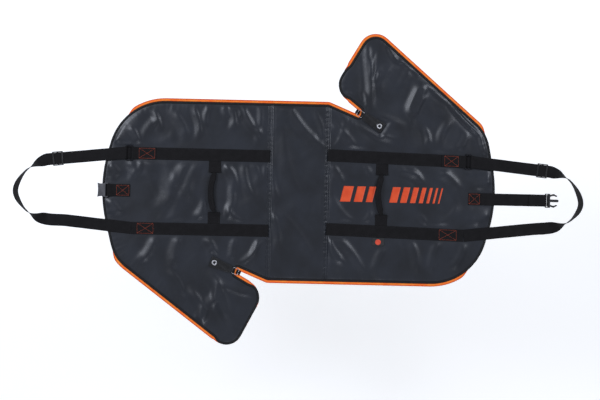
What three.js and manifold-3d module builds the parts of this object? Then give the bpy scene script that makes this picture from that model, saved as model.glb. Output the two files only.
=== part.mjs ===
// A fold-flat carry bag, unzipped and opened out flat with its outer face up.
//
// Units are millimetres. The origin is the centre of the base panel's underside. +X runs out over the
// right side panel, +Y runs along the two fold seams and +Z points up, out of the outer face.
// Each half of the bag is a side panel with a triangular end gusset on one edge. Both halves are cut
// to one pattern, and the left one is the right one turned half a turn about Z. Every half is drawn
// as the right one, with x running from its fold seam out to the free end.

import * as THREE from 'three';
import { mergeVertices } from 'three/addons/utils/BufferGeometryUtils.js';
import Module from 'manifold-3d';

const wasm = await Module();
wasm.setup();

// ---------------------------------------------------------------- driving dimensions

// Clearances
const TOUCH_GAP = 0.3; // between pieces that lie against each other
const FOLD_GAP = 0.5; // between two panels that fold about one seam
const ZIP_GAP = 0.4; // round the zip tape inside a slider

// Base panel, between the two fold seams
const BASE_WIDTH = 192;
const BASE_LENGTH = 590; // over the piping

// Layers of a panel, from the underside up
const LINING_THICKNESS = 1.2;
const SHELL_THICKNESS = 3.2; // coated fabric over a thin foam
const PIPING_WIDTH = 7;
const PIPING_HEIGHT = 5.6;
const ZIP_TAPE_WIDTH = 8.7; // the part that shows past the piping
const ZIP_TAPE_THICKNESS = 1.8;
const ZIP_TAPE_LIFT = 1.6; // underside of the tape above the underside of the bag

// Pattern of one half, along the outer edge of its piping: corners and their radii. x runs from the fold
// seam, y from the bag's centre line, and rise is counted from the edge of the base panel instead.
const HEM_CORNER = { x: 494, radius: 190 };
const FREE_END = { x: 572, y: -5, radius: 500 };
const SHOULDER = { x: 521, rise: -72, radius: 135 };
const GUSSET_TIP = { x: 128, rise: 246, radius: 48 };
const GUSSET_HEEL = { x: 18, rise: 47, radius: 52 };
const NOTCH_DEPTH = 104; // from the fold seam to the blunt end of the notch, along X
const NOTCH_SLANT = 43; // fall of the notch edge over that length
const NOTCH_MOUTH = 28; // across the blunt end of the notch
const NOTCH_LEAN = 7; // how far the blunt end leans over
const NOTCH_RADIUS = 6;
const UNDER_SEAM = 20; // how far the pattern is drawn past the fold seam before it is cut there
const ARC_TOLERANCE = 0.15; // how far a facet of a round stretch may stand inside its arc

// How the cloth of the two halves happens to lie: each shift is added on the right, taken on the left
const SHOULDER_LAY = { x: 8, y: -10 };
const TIP_LAY = { x: 12, y: 10 };
const HEEL_LAY = { x: 4, y: 8 };

// Gusset fold and where the zip tapes stop at the free end
const GUSSET_CLEARANCE = 8; // the folded gusset stands this far outside the zip tape of the other half
const HEM_TAPE_REACH = 489; // x where the hem's tape is tucked under the piping
const SHOULDER_TAPE_DROP = 95; // the shoulder's tape comes out this far below the base panel's edge

// Webbing
const WEB_WIDTH = 40;
const WEB_THICKNESS = 1.4;
const BOX_STITCH_LENGTH = 58; // length of the doubled end that is sewn down

// Rectangular rings at the ends of the ring straps
const RING_X = 457.5; // bar held by the strap
const RING_LENGTH = 22.6; // between the centres of its two bars
const RING_PLAY = 0.8; // between the webbing's edge and the wire
const RING_WIRE = 4.4;
const RING_CORNER = 3;

// Loops
const LOOP_FLOOR = 1; // centre height of webbing that lies on the ground
const CLIMB_BEFORE_PIPING = 22.1; // the webbing is at full height this far before it meets the piping
const DROP_PAST_END = 8; // it leaves the piping this far past the free end
const GROUND_PAST_END = 37; // and has reached the ground this far past it
const TWIST_START = 742; // x where the loop starts to stand on edge
const TWIST_EDGE_ON = 808; // x where it stands upright
const LEAN_LENGTH = 35; // x over which it then leans outwards
const LEAN_AT_END = 25; // degrees that the far bend leans outwards
const LOOP_STEPS = 40;
const WRAP_STEPS = 8; // facets of webbing round a bar
const WRAP_LEAD = 1; // straight webbing between a bar and the slope to it
const RING_BOX_GAP = 20; // from the ring's bar to the box stitch
const LOOP_SETTLE = 46; // length over which the loop settles past its pivot
const LOOP_SETTLE_RISE = 0.3;
const LOOP_TAIL = 4; // of the loop's end past the adjuster's middle

// Strap adjusters
const ADJUSTER_LENGTH = 35;
const ADJUSTER_RAIL = 2.9; // width of each side rail
const ADJUSTER_PLAY = 0.6; // between the webbing's edge and a rail
const ADJUSTER_BAR = 1.6; // height of the middle bar
const ADJUSTER_TOP_BAR = 1.8;
const ADJUSTER_BAR_LENGTH = 5; // of each bar, along the strap

// Side-release buckle
const BUCKLE_RAIL = 2.7; // width of each side rail at the bar
const BUCKLE_PLAY = 0.7; // between the webbing's edge and a rail
const BUCKLE_BAR = 2.8; // across the webbing bar
const BUCKLE_SLOT = 6.2; // length of the slot past the bar
const BUCKLE_WRAP_PLAY = 0.9; // between the bar and the webbing round it
const FEMALE_LENGTH = 34;
const FEMALE_THICKNESS = 10;
const FEMALE_WALL = 1.6;
const FEMALE_WAIST = 5; // total narrowing half way along
const FEMALE_SHOULDER = 10; // from the bar to where the waist starts
const FEMALE_WAIST_AT = 0.6; // of its length, where the waist is narrowest
const FEMALE_MOUTH_CURVE = 4; // how far the mouth's edge is scooped
const FEMALE_SIDE_OPENING = 10; // length of each side opening for an arm
const FEMALE_PLAY = 0.4; // over the piping that it lies on
const FEMALE_X = 537;
const MALE_X = 728;
const MALE_BLOCK = 16; // from the bar to the roots of the arms
const MALE_THICKNESS = 7.2;
const PRONG_LENGTH = 28;
const PRONG_WIDTH = 9;
const PRONG_NOSE = 4; // length of its rounded nose
const PRONG_ROOT = 2; // how far it runs into the block
const ARM_THICKNESS = 5.2;
const ARM_ROOT_GAP = 0.8;
const TAIL_LENGTH = 56; // loose webbing folded back from the male half
const TAIL_FOLD = 16; // length of the tail's slope down from the bar
const ANCHOR_START = 471;
const ANCHOR_END = 512;
const FEMALE_TAB_START = 464;
const FEMALE_TAB_CLIMB = 14; // length of the tab's slope up to the bar
const FEMALE_TAB_RETURN = 18; // length of its slope back down

// Grab handles
const HANDLE_X = 182.5;
const GRIP_LENGTH = 132;
const GRIP_WIDTH = 19;
const GRIP_THICKNESS = 6;
const GRIP_END_WIDTH = 11;
const GRIP_END_THICKNESS = 5;
const GRIP_BOW = 12; // sideways
const GRIP_RISE = 5; // of the middle over the ends
const GRIP_FULLNESS = 2.5; // how soon the grip swells to its full width
const GRIP_LIFT = 6.6; // of its ends' centres over the panel
const TAB_RAMP = 15; // length over which a handle tab rises to the grip
const TAB_RAMP_MIDDLE = 0.35; // of the ramp, where the tab is half way up
const TAB_TUCK = 1; // of the tab's end under the grip's axis

// Zip sliders and their pulls
const SLIDER_LENGTH = 16;
const SLIDER_WIDTH = 15;
const SLIDER_BOTTOM = 0.3;
const SLIDER_TOP_PLATE = 1.2;
const SLIDER_FROM_NOTCH = 12; // from the blunt end of the notch
const SLIDER_CORNER = 4;
const SLIDER_POST_RADIUS = 1.6;
const SLIDER_POST_X = 2;
const SLIDER_SINK = 0.4; // of the arch and the post into the top plate
const ARCH_LENGTH = 7;
const ARCH_WIDTH = 4;
const ARCH_WALL = 1.2;
const ARCH_CORNER = 2.6;
const PULL_WIRE = 1.8;
const LINK_LENGTH = 20;
const LINK_WIDTH = 20;
const LINK_CORNER = 3;
const LINK_PLAY = 0.5;
const PULL_TAB_LENGTH = 80;
const PULL_TAB_THICKNESS = 2.6;
const PULL_FOLD_WALL = 1; // of the webbing folded round the link
const PULL_TAB_NECK = 15;
const PULL_NECK_END = 5; // from the link to the neck's end
const PULL_FLARE_END = 8; // and to where the tab has its full width
const PULL_NECK_CORNER = 2;
const PULL_END_CORNER = 3;
const PULL_TAB_START_WIDTH = 25;
const PULL_TAB_END_WIDTH = 36;
const EYELET_FROM_END = 14;
const EYELET_HOLE = 9;
const EYELET_FLANGE = 17;
const EYELET_WALL = 0.8;
const EYELET_RIM = 0.5;

// Label tab below the right half's plain strap
const LABEL_X = 174;
const LABEL_GAP = 0.7; // below the strap's edge
const LABEL_WIDTH = 40;
const LABEL_HEIGHT = 26;
const LABEL_THICKNESS = 0.8;

// What differs between the two halves. `lay` is +1 or -1 and scales the lay of the cloth, `ringSide` is
// the side of the half (+Y or -Y) that carries the ring strap, and each strap gives its y at the seam
// and at RING_X. `route` lists the loop's bend with y counted towards the ring side.
const HALVES = [
  {
    name: 'right',
    turn: 0,
    lay: 1,
    ringSide: 1,
    ringStrap: [126, 114],
    plainStrap: [-120, -132],
    closingY: -9,
    gripBow: -GRIP_BOW,
    pullTurn: -1.5,
    adjusterX: 715,
    route: [[688, -105], [756, -97], [810, -74], [843.5, -19], [805, 60], [744, 87]],
  },
  {
    name: 'left',
    turn: Math.PI,
    lay: -1,
    ringSide: -1,
    ringStrap: [118, 119],
    plainStrap: [-130, -131],
    closingY: 6,
    gripBow: GRIP_BOW,
    pullTurn: 5,
    adjusterX: 706,
    route: [[678, -110], [747, -106], [801, -84], [842.5, -17], [809, 52], [744, 91]],
  },
];

// ---------------------------------------------------------------- derived values

const SEAM_X = BASE_WIDTH / 2;
const EDGE_Y = BASE_LENGTH / 2;
const SHELL_BOTTOM = LINING_THICKNESS + TOUCH_GAP;
const SHELL_TOP = SHELL_BOTTOM + SHELL_THICKNESS;
const PANEL_INSET = PIPING_WIDTH + TOUCH_GAP;
const TAPE_EDGE = TOUCH_GAP + ZIP_TAPE_WIDTH;
const GUSSET_FOLD_Y = EDGE_Y + TAPE_EDGE + GUSSET_CLEARANCE;
const HALF_START = FOLD_GAP / 2;
const STRAP_EDGE = WEB_WIDTH / 2 + TOUCH_GAP;
const STRAP_Z = SHELL_TOP + TOUCH_GAP + WEB_THICKNESS / 2;
const TOP_LAYER_Z = STRAP_Z + WEB_THICKNESS + TOUCH_GAP;
const PANEL_TOP = Math.max(PIPING_HEIGHT, SHELL_TOP);
const PIPING_CROSSING_Z = PANEL_TOP + FOLD_GAP + WEB_THICKNESS / 2;
const CROSSING_Y = Math.max(...HALVES.map((half) => Math.abs(half.plainStrap[1]))) + WEB_WIDTH / 2;
const CORNER_RISE = Math.max(0, HEM_CORNER.radius - (EDGE_Y - CROSSING_Y)); // of the hem corner's arc there
const CORNER_INSET = HEM_CORNER.radius - Math.sqrt(HEM_CORNER.radius ** 2 - CORNER_RISE ** 2);
const CLIMB_X = FREE_END.x - CORNER_INSET - CLIMB_BEFORE_PIPING;
const DROP_X = FREE_END.x + DROP_PAST_END;
const GROUND_X = FREE_END.x + GROUND_PAST_END;
const RING_WRAP = RING_WIRE / 2 + TOUCH_GAP + WEB_THICKNESS / 2;
const RING_Z = STRAP_Z + RING_WRAP;
const RING_WIDTH = WEB_WIDTH + 2 * RING_PLAY + RING_WIRE; // between the centres of its two ends
const LAYER_SPACING = WEB_THICKNESS + 2 * TOUCH_GAP + ADJUSTER_BAR;
const BUCKLE_SLOT_WIDTH = WEB_WIDTH + 2 * BUCKLE_PLAY;
const BUCKLE_WIDTH = BUCKLE_SLOT_WIDTH + 2 * BUCKLE_RAIL;
const BUCKLE_WRAP = BUCKLE_BAR / 2 + BUCKLE_WRAP_PLAY + WEB_THICKNESS / 2;
const FEMALE_Z = PANEL_TOP + FEMALE_PLAY + FEMALE_THICKNESS / 2;
const MALE_Z = LOOP_FLOOR + BUCKLE_WRAP;
const TAIL_Z = LOOP_FLOOR + WEB_THICKNESS + TOUCH_GAP;
const GRIP_AXIS_Z = SHELL_TOP + GRIP_LIFT;
const PULL_BORE = PULL_WIRE / 2 + TOUCH_GAP;
const PULL_ROLL = PULL_BORE + PULL_FOLD_WALL;
const PULL_Z = PANEL_TOP + TOUCH_GAP + PULL_ROLL;

// ---------------------------------------------------------------- materials

function finish(color, roughness, metalness = 0) {
  return new THREE.MeshStandardMaterial({ color, roughness, metalness });
}

const coatedFabric = () => finish('#33363f', 0.45);
const liningFabric = () => finish('#1f2025', 0.8);
const pipingFabric = () => finish('#15161a', 0.6);
const zipTape = () => finish('#ee6418', 0.7);
const webbing = () => finish('#1c1b1d', 0.85);
const blackPlastic = () => finish('#2a2a2d', 0.4);
const greyPlastic = () => finish('#48484c', 0.45);
const paintedMetal = () => finish('#17171a', 0.35, 0.6);
const nickel = () => finish('#c9c9cc', 0.25, 1);
const wovenLabel = () => finish('#111113', 0.8);

// ---------------------------------------------------------------- flat outlines

const point = (x, y) => new THREE.Vector2(x, y);

// An open chain through the corners, with an arc of the given radius at each one between the ends.
function roundedChain(corners) {
  const chain = [point(corners[0].x, corners[0].y)];
  for (let i = 1; i < corners.length - 1; i += 1) {
    const here = point(corners[i].x, corners[i].y);
    const back = point(corners[i - 1].x, corners[i - 1].y).sub(here);
    const ahead = point(corners[i + 1].x, corners[i + 1].y).sub(here);
    const half = Math.acos(back.dot(ahead) / (back.length() * ahead.length())) / 2;
    const longest = 0.49 * Math.min(back.length(), ahead.length());
    const reach = Math.min((corners[i].radius ?? 0) / Math.tan(half), longest);
    if (reach < 0.01) {
      chain.push(here);
      continue;
    }
    const radius = reach * Math.tan(half);
    back.normalize();
    ahead.normalize();
    const middle = back.clone().add(ahead).normalize();
    const centre = here.clone().addScaledVector(middle, radius / Math.sin(half));
    const from = here.clone().addScaledVector(back, reach).sub(centre).angle();
    const to = here.clone().addScaledVector(ahead, reach).sub(centre).angle();
    const sweep = THREE.MathUtils.euclideanModulo(to - from + Math.PI, 2 * Math.PI) - Math.PI;
    const step = 2 * Math.acos(1 - ARC_TOLERANCE / radius);
    const steps = Math.max(2, Math.ceil(Math.abs(sweep) / step));
    for (let k = 0; k <= steps; k += 1) {
      const angle = from + (sweep * k) / steps;
      chain.push(point(centre.x + radius * Math.cos(angle), centre.y + radius * Math.sin(angle)));
    }
  }
  const last = corners[corners.length - 1];
  chain.push(point(last.x, last.y));
  return chain;
}

// The chain moved sideways, to its left where the distance is positive, with mitred joins.
function offsetChain(chain, distance) {
  return chain.map((here, i) => {
    const into = here.clone().sub(chain[Math.max(i - 1, 0)]);
    const out = chain[Math.min(i + 1, chain.length - 1)].clone().sub(here);
    const first = (into.length() > 0 ? into : out).clone().normalize();
    const second = (out.length() > 0 ? out : into).clone().normalize();
    const normals = point(-first.y - second.y, first.x + second.x);
    return here.clone().addScaledVector(normals, distance / (1 + first.dot(second)));
  });
}

// The part of a closed outline that lies in front of the line through `origin` with normal `facing`.
function clip(outline, origin, facing) {
  const height = (p) => p.clone().sub(origin).dot(facing);
  const kept = [];
  outline.forEach((p, i) => {
    const q = outline[(i + 1) % outline.length];
    const hp = height(p);
    const hq = height(q);
    if (hp >= 0) {
      kept.push(p);
    }
    if (hp >= 0 !== hq >= 0) {
      kept.push(p.clone().lerp(q, hp / (hp - hq)));
    }
  });
  return kept;
}

const leftOf = (outline, x) => clip(outline, point(x, 0), point(-1, 0));
const rightOf = (outline, x) => clip(outline, point(x, 0), point(1, 0));
const below = (outline, y) => clip(outline, point(0, y), point(0, -1));
const above = (outline, y) => clip(outline, point(0, y), point(0, 1));

function rectangle(x0, x1, y0, y1) {
  return [point(x0, y0), point(x1, y0), point(x1, y1), point(x0, y1)];
}

function roundedRectangle(length, width, radius) {
  const x = length / 2;
  const y = width / 2;
  const corners = [
    { x: 0, y: -y },
    { x, y: -y, radius },
    { x, y, radius },
    { x: -x, y, radius },
    { x: -x, y: -y, radius },
    { x: 0, y: -y },
  ];
  return roundedChain(corners).slice(0, -1);
}

// ---------------------------------------------------------------- solids

// A flat outline given thickness between two heights.
function slab(outline, low, high) {
  const solid = new THREE.ExtrudeGeometry(new THREE.Shape(outline), { depth: high - low, bevelEnabled: false });
  return solid.translate(0, 0, low);
}

// A slab that stands in the XZ plane, centred on y = 0: the outline's y becomes height.
function uprightSlab(outline, width) {
  return slab(outline, -width / 2, width / 2).rotateX(Math.PI / 2);
}

function block(x0, x1, y0, y1, z0, z1) {
  const solid = new THREE.BoxGeometry(x1 - x0, y1 - y0, z1 - z0);
  return solid.translate((x0 + x1) / 2, (y0 + y1) / 2, (z0 + z1) / 2);
}

function toManifold(geometry) {
  const bare = geometry.clone();
  bare.deleteAttribute('normal');
  bare.deleteAttribute('uv');
  const merged = mergeVertices(bare, 1e-4);
  const mesh = new wasm.Mesh({
    numProp: 3,
    vertProperties: new Float32Array(merged.attributes.position.array),
    triVerts: new Uint32Array(merged.index.array),
  });
  return new wasm.Manifold(mesh);
}

function fromManifold(manifold) {
  const mesh = manifold.getMesh();
  const geometry = new THREE.BufferGeometry();
  geometry.setAttribute('position', new THREE.BufferAttribute(mesh.vertProperties, 3));
  geometry.setIndex(new THREE.BufferAttribute(mesh.triVerts, 1));
  return geometry;
}

function join(first, ...others) {
  return fromManifold(others.reduce((whole, next) => whole.add(toManifold(next)), toManifold(first)));
}

function cut(body, ...tools) {
  return fromManifold(tools.reduce((whole, next) => whole.subtract(toManifold(next)), toManifold(body)));
}

// Webbing along a list of stations. Each station has a place `at` and the direction `across` the web.
function ribbon(stations, width = WEB_WIDTH, thickness = WEB_THICKNESS) {
  const last = stations.length - 1;
  const frames = stations.map(({ at, across }, i) => {
    const along = stations[Math.min(i + 1, last)].at.clone().sub(stations[Math.max(i - 1, 0)].at).normalize();
    return { at, across, up: along.cross(across).normalize() };
  });
  const solid = new THREE.BoxGeometry(1, 1, 1, last, 1, 1);
  const position = solid.attributes.position;
  for (let i = 0; i < position.count; i += 1) {
    const { at, across, up } = frames[Math.round((position.getX(i) + 0.5) * last)];
    const place = at.clone();
    place.addScaledVector(across, position.getY(i) * width);
    place.addScaledVector(up, position.getZ(i) * thickness);
    position.setXYZ(i, place.x, place.y, place.z);
  }
  return solid;
}

// A round wire bent along a closed flat outline in the XY plane.
function wireLoop(outline, diameter, sides = 8) {
  const count = outline.length;
  const solid = new THREE.TorusGeometry(1, 0.1, sides, count);
  const position = solid.attributes.position;
  const radius = diameter / 2;
  for (let j = 0; j <= sides; j += 1) {
    const turn = (2 * Math.PI * (j % sides)) / sides;
    for (let i = 0; i <= count; i += 1) {
      const here = outline[i % count];
      const before = outline[(i + count - 1) % count];
      const after = outline[(i + 1) % count];
      const along = after.clone().sub(before).normalize();
      const x = here.x + along.y * radius * Math.cos(turn);
      const y = here.y - along.x * radius * Math.cos(turn);
      position.setXYZ(j * (count + 1) + i, x, y, radius * Math.sin(turn));
    }
  }
  return solid;
}

function smooth(t) {
  return THREE.MathUtils.smoothstep(t, 0, 1);
}

// ---------------------------------------------------------------- the pattern of one half

function patternCorners(half) {
  const shift = (corner, lay) => ({
    x: corner.x + half.lay * lay.x,
    y: EDGE_Y + corner.rise + half.lay * lay.y,
    radius: corner.radius,
  });
  const notchInner = { x: NOTCH_DEPTH, y: EDGE_Y - NOTCH_SLANT, radius: NOTCH_RADIUS };
  return {
    hemStart: { x: -UNDER_SEAM, y: -EDGE_Y },
    hemCorner: { x: HEM_CORNER.x, y: -EDGE_Y, radius: HEM_CORNER.radius },
    end: FREE_END,
    shoulder: shift(SHOULDER, SHOULDER_LAY),
    tip: shift(GUSSET_TIP, TIP_LAY),
    heel: shift(GUSSET_HEEL, HEEL_LAY),
    notchOuter: {
      x: NOTCH_DEPTH + NOTCH_LEAN,
      y: notchInner.y + Math.sqrt(NOTCH_MOUTH ** 2 - NOTCH_LEAN ** 2),
      radius: NOTCH_RADIUS,
    },
    notchInner,
    notchEnd: { x: -UNDER_SEAM, y: EDGE_Y + (UNDER_SEAM / NOTCH_DEPTH) * NOTCH_SLANT },
  };
}

// The band between two offsets of a run of the pattern, as a closed outline.
function band(corners, near, far) {
  const sharp = corners.map((corner) => (corner.radius === NOTCH_RADIUS ? { ...corner, radius: 0 } : corner));
  const outer = far < 0 ? roundedChain(sharp) : roundedChain(corners);
  return [...offsetChain(roundedChain(corners), near), ...offsetChain(outer, far).reverse()];
}

const pipingBand = (corners) => band(corners, 0, PIPING_WIDTH);
const tapeBand = (corners) => band(corners, -TOUCH_GAP, -TAPE_EDGE);
const pastSeam = (outline) => rightOf(outline, HALF_START);
const sidePart = (outline) => pastSeam(below(outline, GUSSET_FOLD_Y - FOLD_GAP / 2));
const gussetPart = (outline) => above(outline, GUSSET_FOLD_Y + FOLD_GAP / 2);

const liningSlab = (outline) => slab(outline, 0, LINING_THICKNESS);
const shellSlab = (outline) => slab(outline, SHELL_BOTTOM, SHELL_TOP);
const pipingSlab = (outline) => slab(outline, 0, PIPING_HEIGHT);
const tapeSlab = (outline) => slab(outline, ZIP_TAPE_LIFT, ZIP_TAPE_LIFT + ZIP_TAPE_THICKNESS);

// ---------------------------------------------------------------- pieces

const bag = new THREE.Group();

function addPiece(parent, name, geometry, material) {
  const mesh = new THREE.Mesh(geometry, material);
  mesh.name = name;
  parent.add(mesh);
  return mesh;
}

function buildBase() {
  const x = SEAM_X - FOLD_GAP / 2;
  const y = EDGE_Y - PANEL_INSET;
  addPiece(bag, 'base_lining', liningSlab(rectangle(-x, x, -y, y)), liningFabric());
  addPiece(bag, 'base_shell', shellSlab(rectangle(-x, x, -y, y)), coatedFabric());
  for (const [place, side] of [['front', -1], ['back', 1]]) {
    const piping = rectangle(-x, x, EDGE_Y - PIPING_WIDTH, EDGE_Y);
    const tape = rectangle(-x, x, EDGE_Y + TOUCH_GAP, EDGE_Y + TAPE_EDGE);
    const edge = new THREE.Group();
    edge.rotation.z = side < 0 ? Math.PI : 0;
    bag.add(edge);
    addPiece(edge, `base_piping_${place}`, pipingSlab(piping), pipingFabric());
    addPiece(edge, `base_zip_tape_${place}`, tapeSlab(tape), zipTape());
  }
}

function buildPanels(group, half) {
  const c = patternCorners(half);
  const outline = [
    c.hemStart, c.hemCorner, c.end, c.shoulder, c.tip, c.heel, c.notchOuter, c.notchInner, c.notchEnd,
  ];
  const panel = offsetChain(roundedChain(outline), PANEL_INSET);
  const side = sidePart(panel);
  const gusset = gussetPart(panel);
  addPiece(group, `${half.name}_side_lining`, liningSlab(side), liningFabric());
  addPiece(group, `${half.name}_side_shell`, shellSlab(side), coatedFabric());
  addPiece(group, `${half.name}_gusset_lining`, liningSlab(gusset), liningFabric());
  addPiece(group, `${half.name}_gusset_shell`, shellSlab(gusset), coatedFabric());
}

function buildEdges(group, half) {
  const c = patternCorners(half);
  const endRun = [c.hemStart, c.hemCorner, c.end, c.shoulder, c.tip];
  const gussetRun = [c.shoulder, c.tip, c.heel, c.notchOuter];
  const notchRun = [c.heel, c.notchOuter, c.notchInner, c.notchEnd];
  const pipings = {
    end: sidePart(pipingBand(endRun)),
    gusset: gussetPart(pipingBand(gussetRun)),
    notch: sidePart(pipingBand(notchRun)),
  };
  const tapes = {
    hem: pastSeam(leftOf(tapeBand([c.hemStart, c.hemCorner, c.end]), HEM_TAPE_REACH)),
    shoulder: sidePart(above(tapeBand([c.end, c.shoulder, c.tip]), EDGE_Y - SHOULDER_TAPE_DROP)),
    gusset: gussetPart(tapeBand(gussetRun)),
    notch: sidePart(tapeBand(notchRun)),
  };
  for (const [run, outline] of Object.entries(pipings)) {
    addPiece(group, `${half.name}_${run}_piping`, pipingSlab(outline), pipingFabric());
  }
  for (const [run, outline] of Object.entries(tapes)) {
    addPiece(group, `${half.name}_${run}_zip_tape`, tapeSlab(outline), zipTape());
  }
}

// ---------------------------------------------------------------- straps and loops

const ACROSS = new THREE.Vector3(0, 1, 0);

// The y of a sewn strap's centre line at x.
function strapY([atSeam, atRing], x) {
  return atSeam + ((atRing - atSeam) * x) / RING_X;
}

function station(x, y, z, across = ACROSS) {
  return { at: new THREE.Vector3(x, y, z), across };
}

// Stations round a bar that lies across the web: half a turn on the bar's far side, seen from -x
// where `outwards` is 1 and from +x where it is -1, starting below or above.
function wrap(x, y, z, radius, outwards, startBelow, across = ACROSS) {
  const stations = [];
  for (let k = 1; k < WRAP_STEPS; k += 1) {
    const angle = (Math.PI * k) / WRAP_STEPS;
    const rise = startBelow ? -Math.cos(angle) : Math.cos(angle);
    stations.push(station(x + outwards * radius * Math.sin(angle), y, z + radius * rise, across));
  }
  return stations;
}

function buildSewnStraps(group, half) {
  const s = half.ringSide;
  const ringY = (x) => s * strapY(half.ringStrap, x);
  const plainY = (x) => s * strapY(half.plainStrap, x);
  const barY = ringY(RING_X);
  const boxEnd = RING_X - RING_BOX_GAP;
  const boxStart = boxEnd - BOX_STITCH_LENGTH;
  const ringStrap = [
    station(HALF_START, ringY(HALF_START), STRAP_Z),
    station(HANDLE_X, ringY(HANDLE_X), STRAP_Z),
    station(RING_X - WRAP_LEAD, barY, STRAP_Z),
    ...wrap(RING_X, barY, RING_Z, RING_WRAP, 1, true),
    station(RING_X - WRAP_LEAD, barY, RING_Z + RING_WRAP),
    station(boxEnd, ringY(boxEnd), TOP_LAYER_Z),
    station(boxStart, ringY(boxStart), TOP_LAYER_Z),
  ];
  const end = RING_X - FOLD_GAP / 2;
  const plainStrap = [HALF_START, HANDLE_X, end].map((x) => station(x, plainY(x), STRAP_Z));
  addPiece(group, `${half.name}_ring_strap`, ribbon(ringStrap), webbing());
  addPiece(group, `${half.name}_plain_strap`, ribbon(plainStrap), webbing());
}

function buildRing(group, half) {
  const outline = roundedRectangle(RING_LENGTH, RING_WIDTH, RING_CORNER);
  const ring = addPiece(group, `${half.name}_ring`, wireLoop(outline, RING_WIRE), paintedMetal());
  ring.position.set(RING_X + RING_LENGTH / 2, half.ringSide * half.ringStrap[1], RING_Z);
}

// Height of the centre of a loop's lower layer at x, between the panel and the ground.
function loopHeight(x) {
  const profile = [
    [RING_X, STRAP_Z],
    [RING_X + LOOP_SETTLE, STRAP_Z + LOOP_SETTLE_RISE],
    [CLIMB_X, PIPING_CROSSING_Z],
    [DROP_X, PIPING_CROSSING_Z],
    [GROUND_X, LOOP_FLOOR],
    [TWIST_EDGE_ON, LOOP_FLOOR],
  ];
  const next = Math.max(1, profile.findIndex(([place]) => place >= x));
  const [x1, z1] = profile[next];
  const [x0, z0] = profile[next - 1];
  return THREE.MathUtils.mapLinear(x, x0, x1, z0, z1);
}

// The y of the doubled strand between the ring's outer bar and the start of the loop's bend.
function doubledY(half, x) {
  const barX = RING_X + RING_LENGTH;
  const [bendX, bendY] = half.route[half.route.length - 1];
  return half.ringStrap[1] + ((bendY - half.ringStrap[1]) * (x - barX)) / (bendX - barX);
}

// The loop's webbing: out along the plain strand, round the far bend on edge, back through the
// adjuster, round the ring's outer bar and back under itself to the adjuster.
function buildLoopWebbing(group, half) {
  const start = RING_X + FOLD_GAP / 2;
  const startY = half.plainStrap[1];
  const ringY = half.ringStrap[1];
  const barX = RING_X + RING_LENGTH;
  const bend = new THREE.CatmullRomCurve3(half.route.map(([x, y]) => new THREE.Vector3(x, y, 0)));
  const [firstX, firstY] = half.route[0];
  const drops = [CLIMB_X, DROP_X, GROUND_X];
  const plainY = (x) => startY + ((firstY - startY) * (x - start)) / (firstX - start);
  const stations = [station(start, startY, STRAP_Z)];
  const flat = (x, y, z) => stations.push(station(x, y, z));
  [RING_X + LOOP_SETTLE, ...drops].forEach((x) => flat(x, plainY(x), loopHeight(x)));
  for (let k = 0; k <= LOOP_STEPS; k += 1) {
    const at = bend.getPointAt(k / LOOP_STEPS);
    const along = bend.getTangentAt(k / LOOP_STEPS);
    const twist = 90 * smooth((at.x - TWIST_START) / (TWIST_EDGE_ON - TWIST_START));
    const lean = LEAN_AT_END * smooth((at.x - TWIST_EDGE_ON) / LEAN_LENGTH);
    const roll = THREE.MathUtils.degToRad(twist + lean);
    const level = LOOP_FLOOR + (k > LOOP_STEPS / 2 ? LAYER_SPACING * (1 - Math.sin(roll)) : 0);
    const height = level + (WEB_WIDTH / 2) * Math.sin(roll);
    const across = new THREE.Vector3(-along.y * Math.cos(roll), along.x * Math.cos(roll), Math.sin(roll));
    stations.push(station(at.x, at.y, height, across));
  }
  const back = new THREE.Vector3(0, -1, 0);
  const flatBack = (x, y, z) => stations.push(station(x, y, z, back));
  const climb = [...drops].reverse();
  climb.forEach((x) => flatBack(x, doubledY(half, x), loopHeight(x) + LAYER_SPACING));
  flatBack(barX + WRAP_LEAD, ringY, RING_Z + RING_WRAP);
  stations.push(...wrap(barX, ringY, RING_Z, RING_WRAP, -1, false, back));
  flatBack(barX + WRAP_LEAD, ringY, RING_Z - RING_WRAP);
  drops.forEach((x) => flatBack(x, doubledY(half, x), loopHeight(x)));
  const loopEnd = half.adjusterX + LOOP_TAIL;
  flatBack(loopEnd, doubledY(half, loopEnd), LOOP_FLOOR);
  const mirror = new THREE.Vector3(1, half.ringSide, 1);
  const mirrored = stations.map(({ at, across }) => ({
    at: at.clone().multiply(mirror),
    across: across.clone().multiply(mirror),
  }));
  addPiece(group, `${half.name}_loop_webbing`, ribbon(mirrored), webbing());
}

// A three-bar slide: the outer bars lie over both layers of the strap, the middle one between them.
function buildAdjuster(group, half) {
  const x = half.adjusterX;
  const y = doubledY(half, x);
  const length = ADJUSTER_LENGTH / 2;
  const inner = WEB_WIDTH / 2 + ADJUSTER_PLAY;
  const outer = inner + ADJUSTER_RAIL;
  const middleBottom = LOOP_FLOOR + WEB_THICKNESS / 2 + TOUCH_GAP;
  const topBottom = LOOP_FLOOR + LAYER_SPACING + WEB_THICKNESS / 2 + TOUCH_GAP;
  const top = topBottom + ADJUSTER_TOP_BAR;
  const bar = ADJUSTER_BAR_LENGTH;
  const frame = join(
    block(-length, length, inner, outer, middleBottom, top),
    block(-length, length, -outer, -inner, middleBottom, top),
    block(-length, -length + bar, -outer, outer, topBottom, top),
    block(length - bar, length, -outer, outer, topBottom, top),
    block(-bar / 2, bar / 2, -outer, outer, middleBottom, middleBottom + ADJUSTER_BAR),
  );
  const adjuster = addPiece(group, `${half.name}_adjuster`, frame, blackPlastic());
  adjuster.position.set(x, half.ringSide * y, 0);
  adjuster.rotation.z = half.ringSide * Math.atan(doubledY(half, 1) - doubledY(half, 0));
}

// ---------------------------------------------------------------- grab handles

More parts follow.
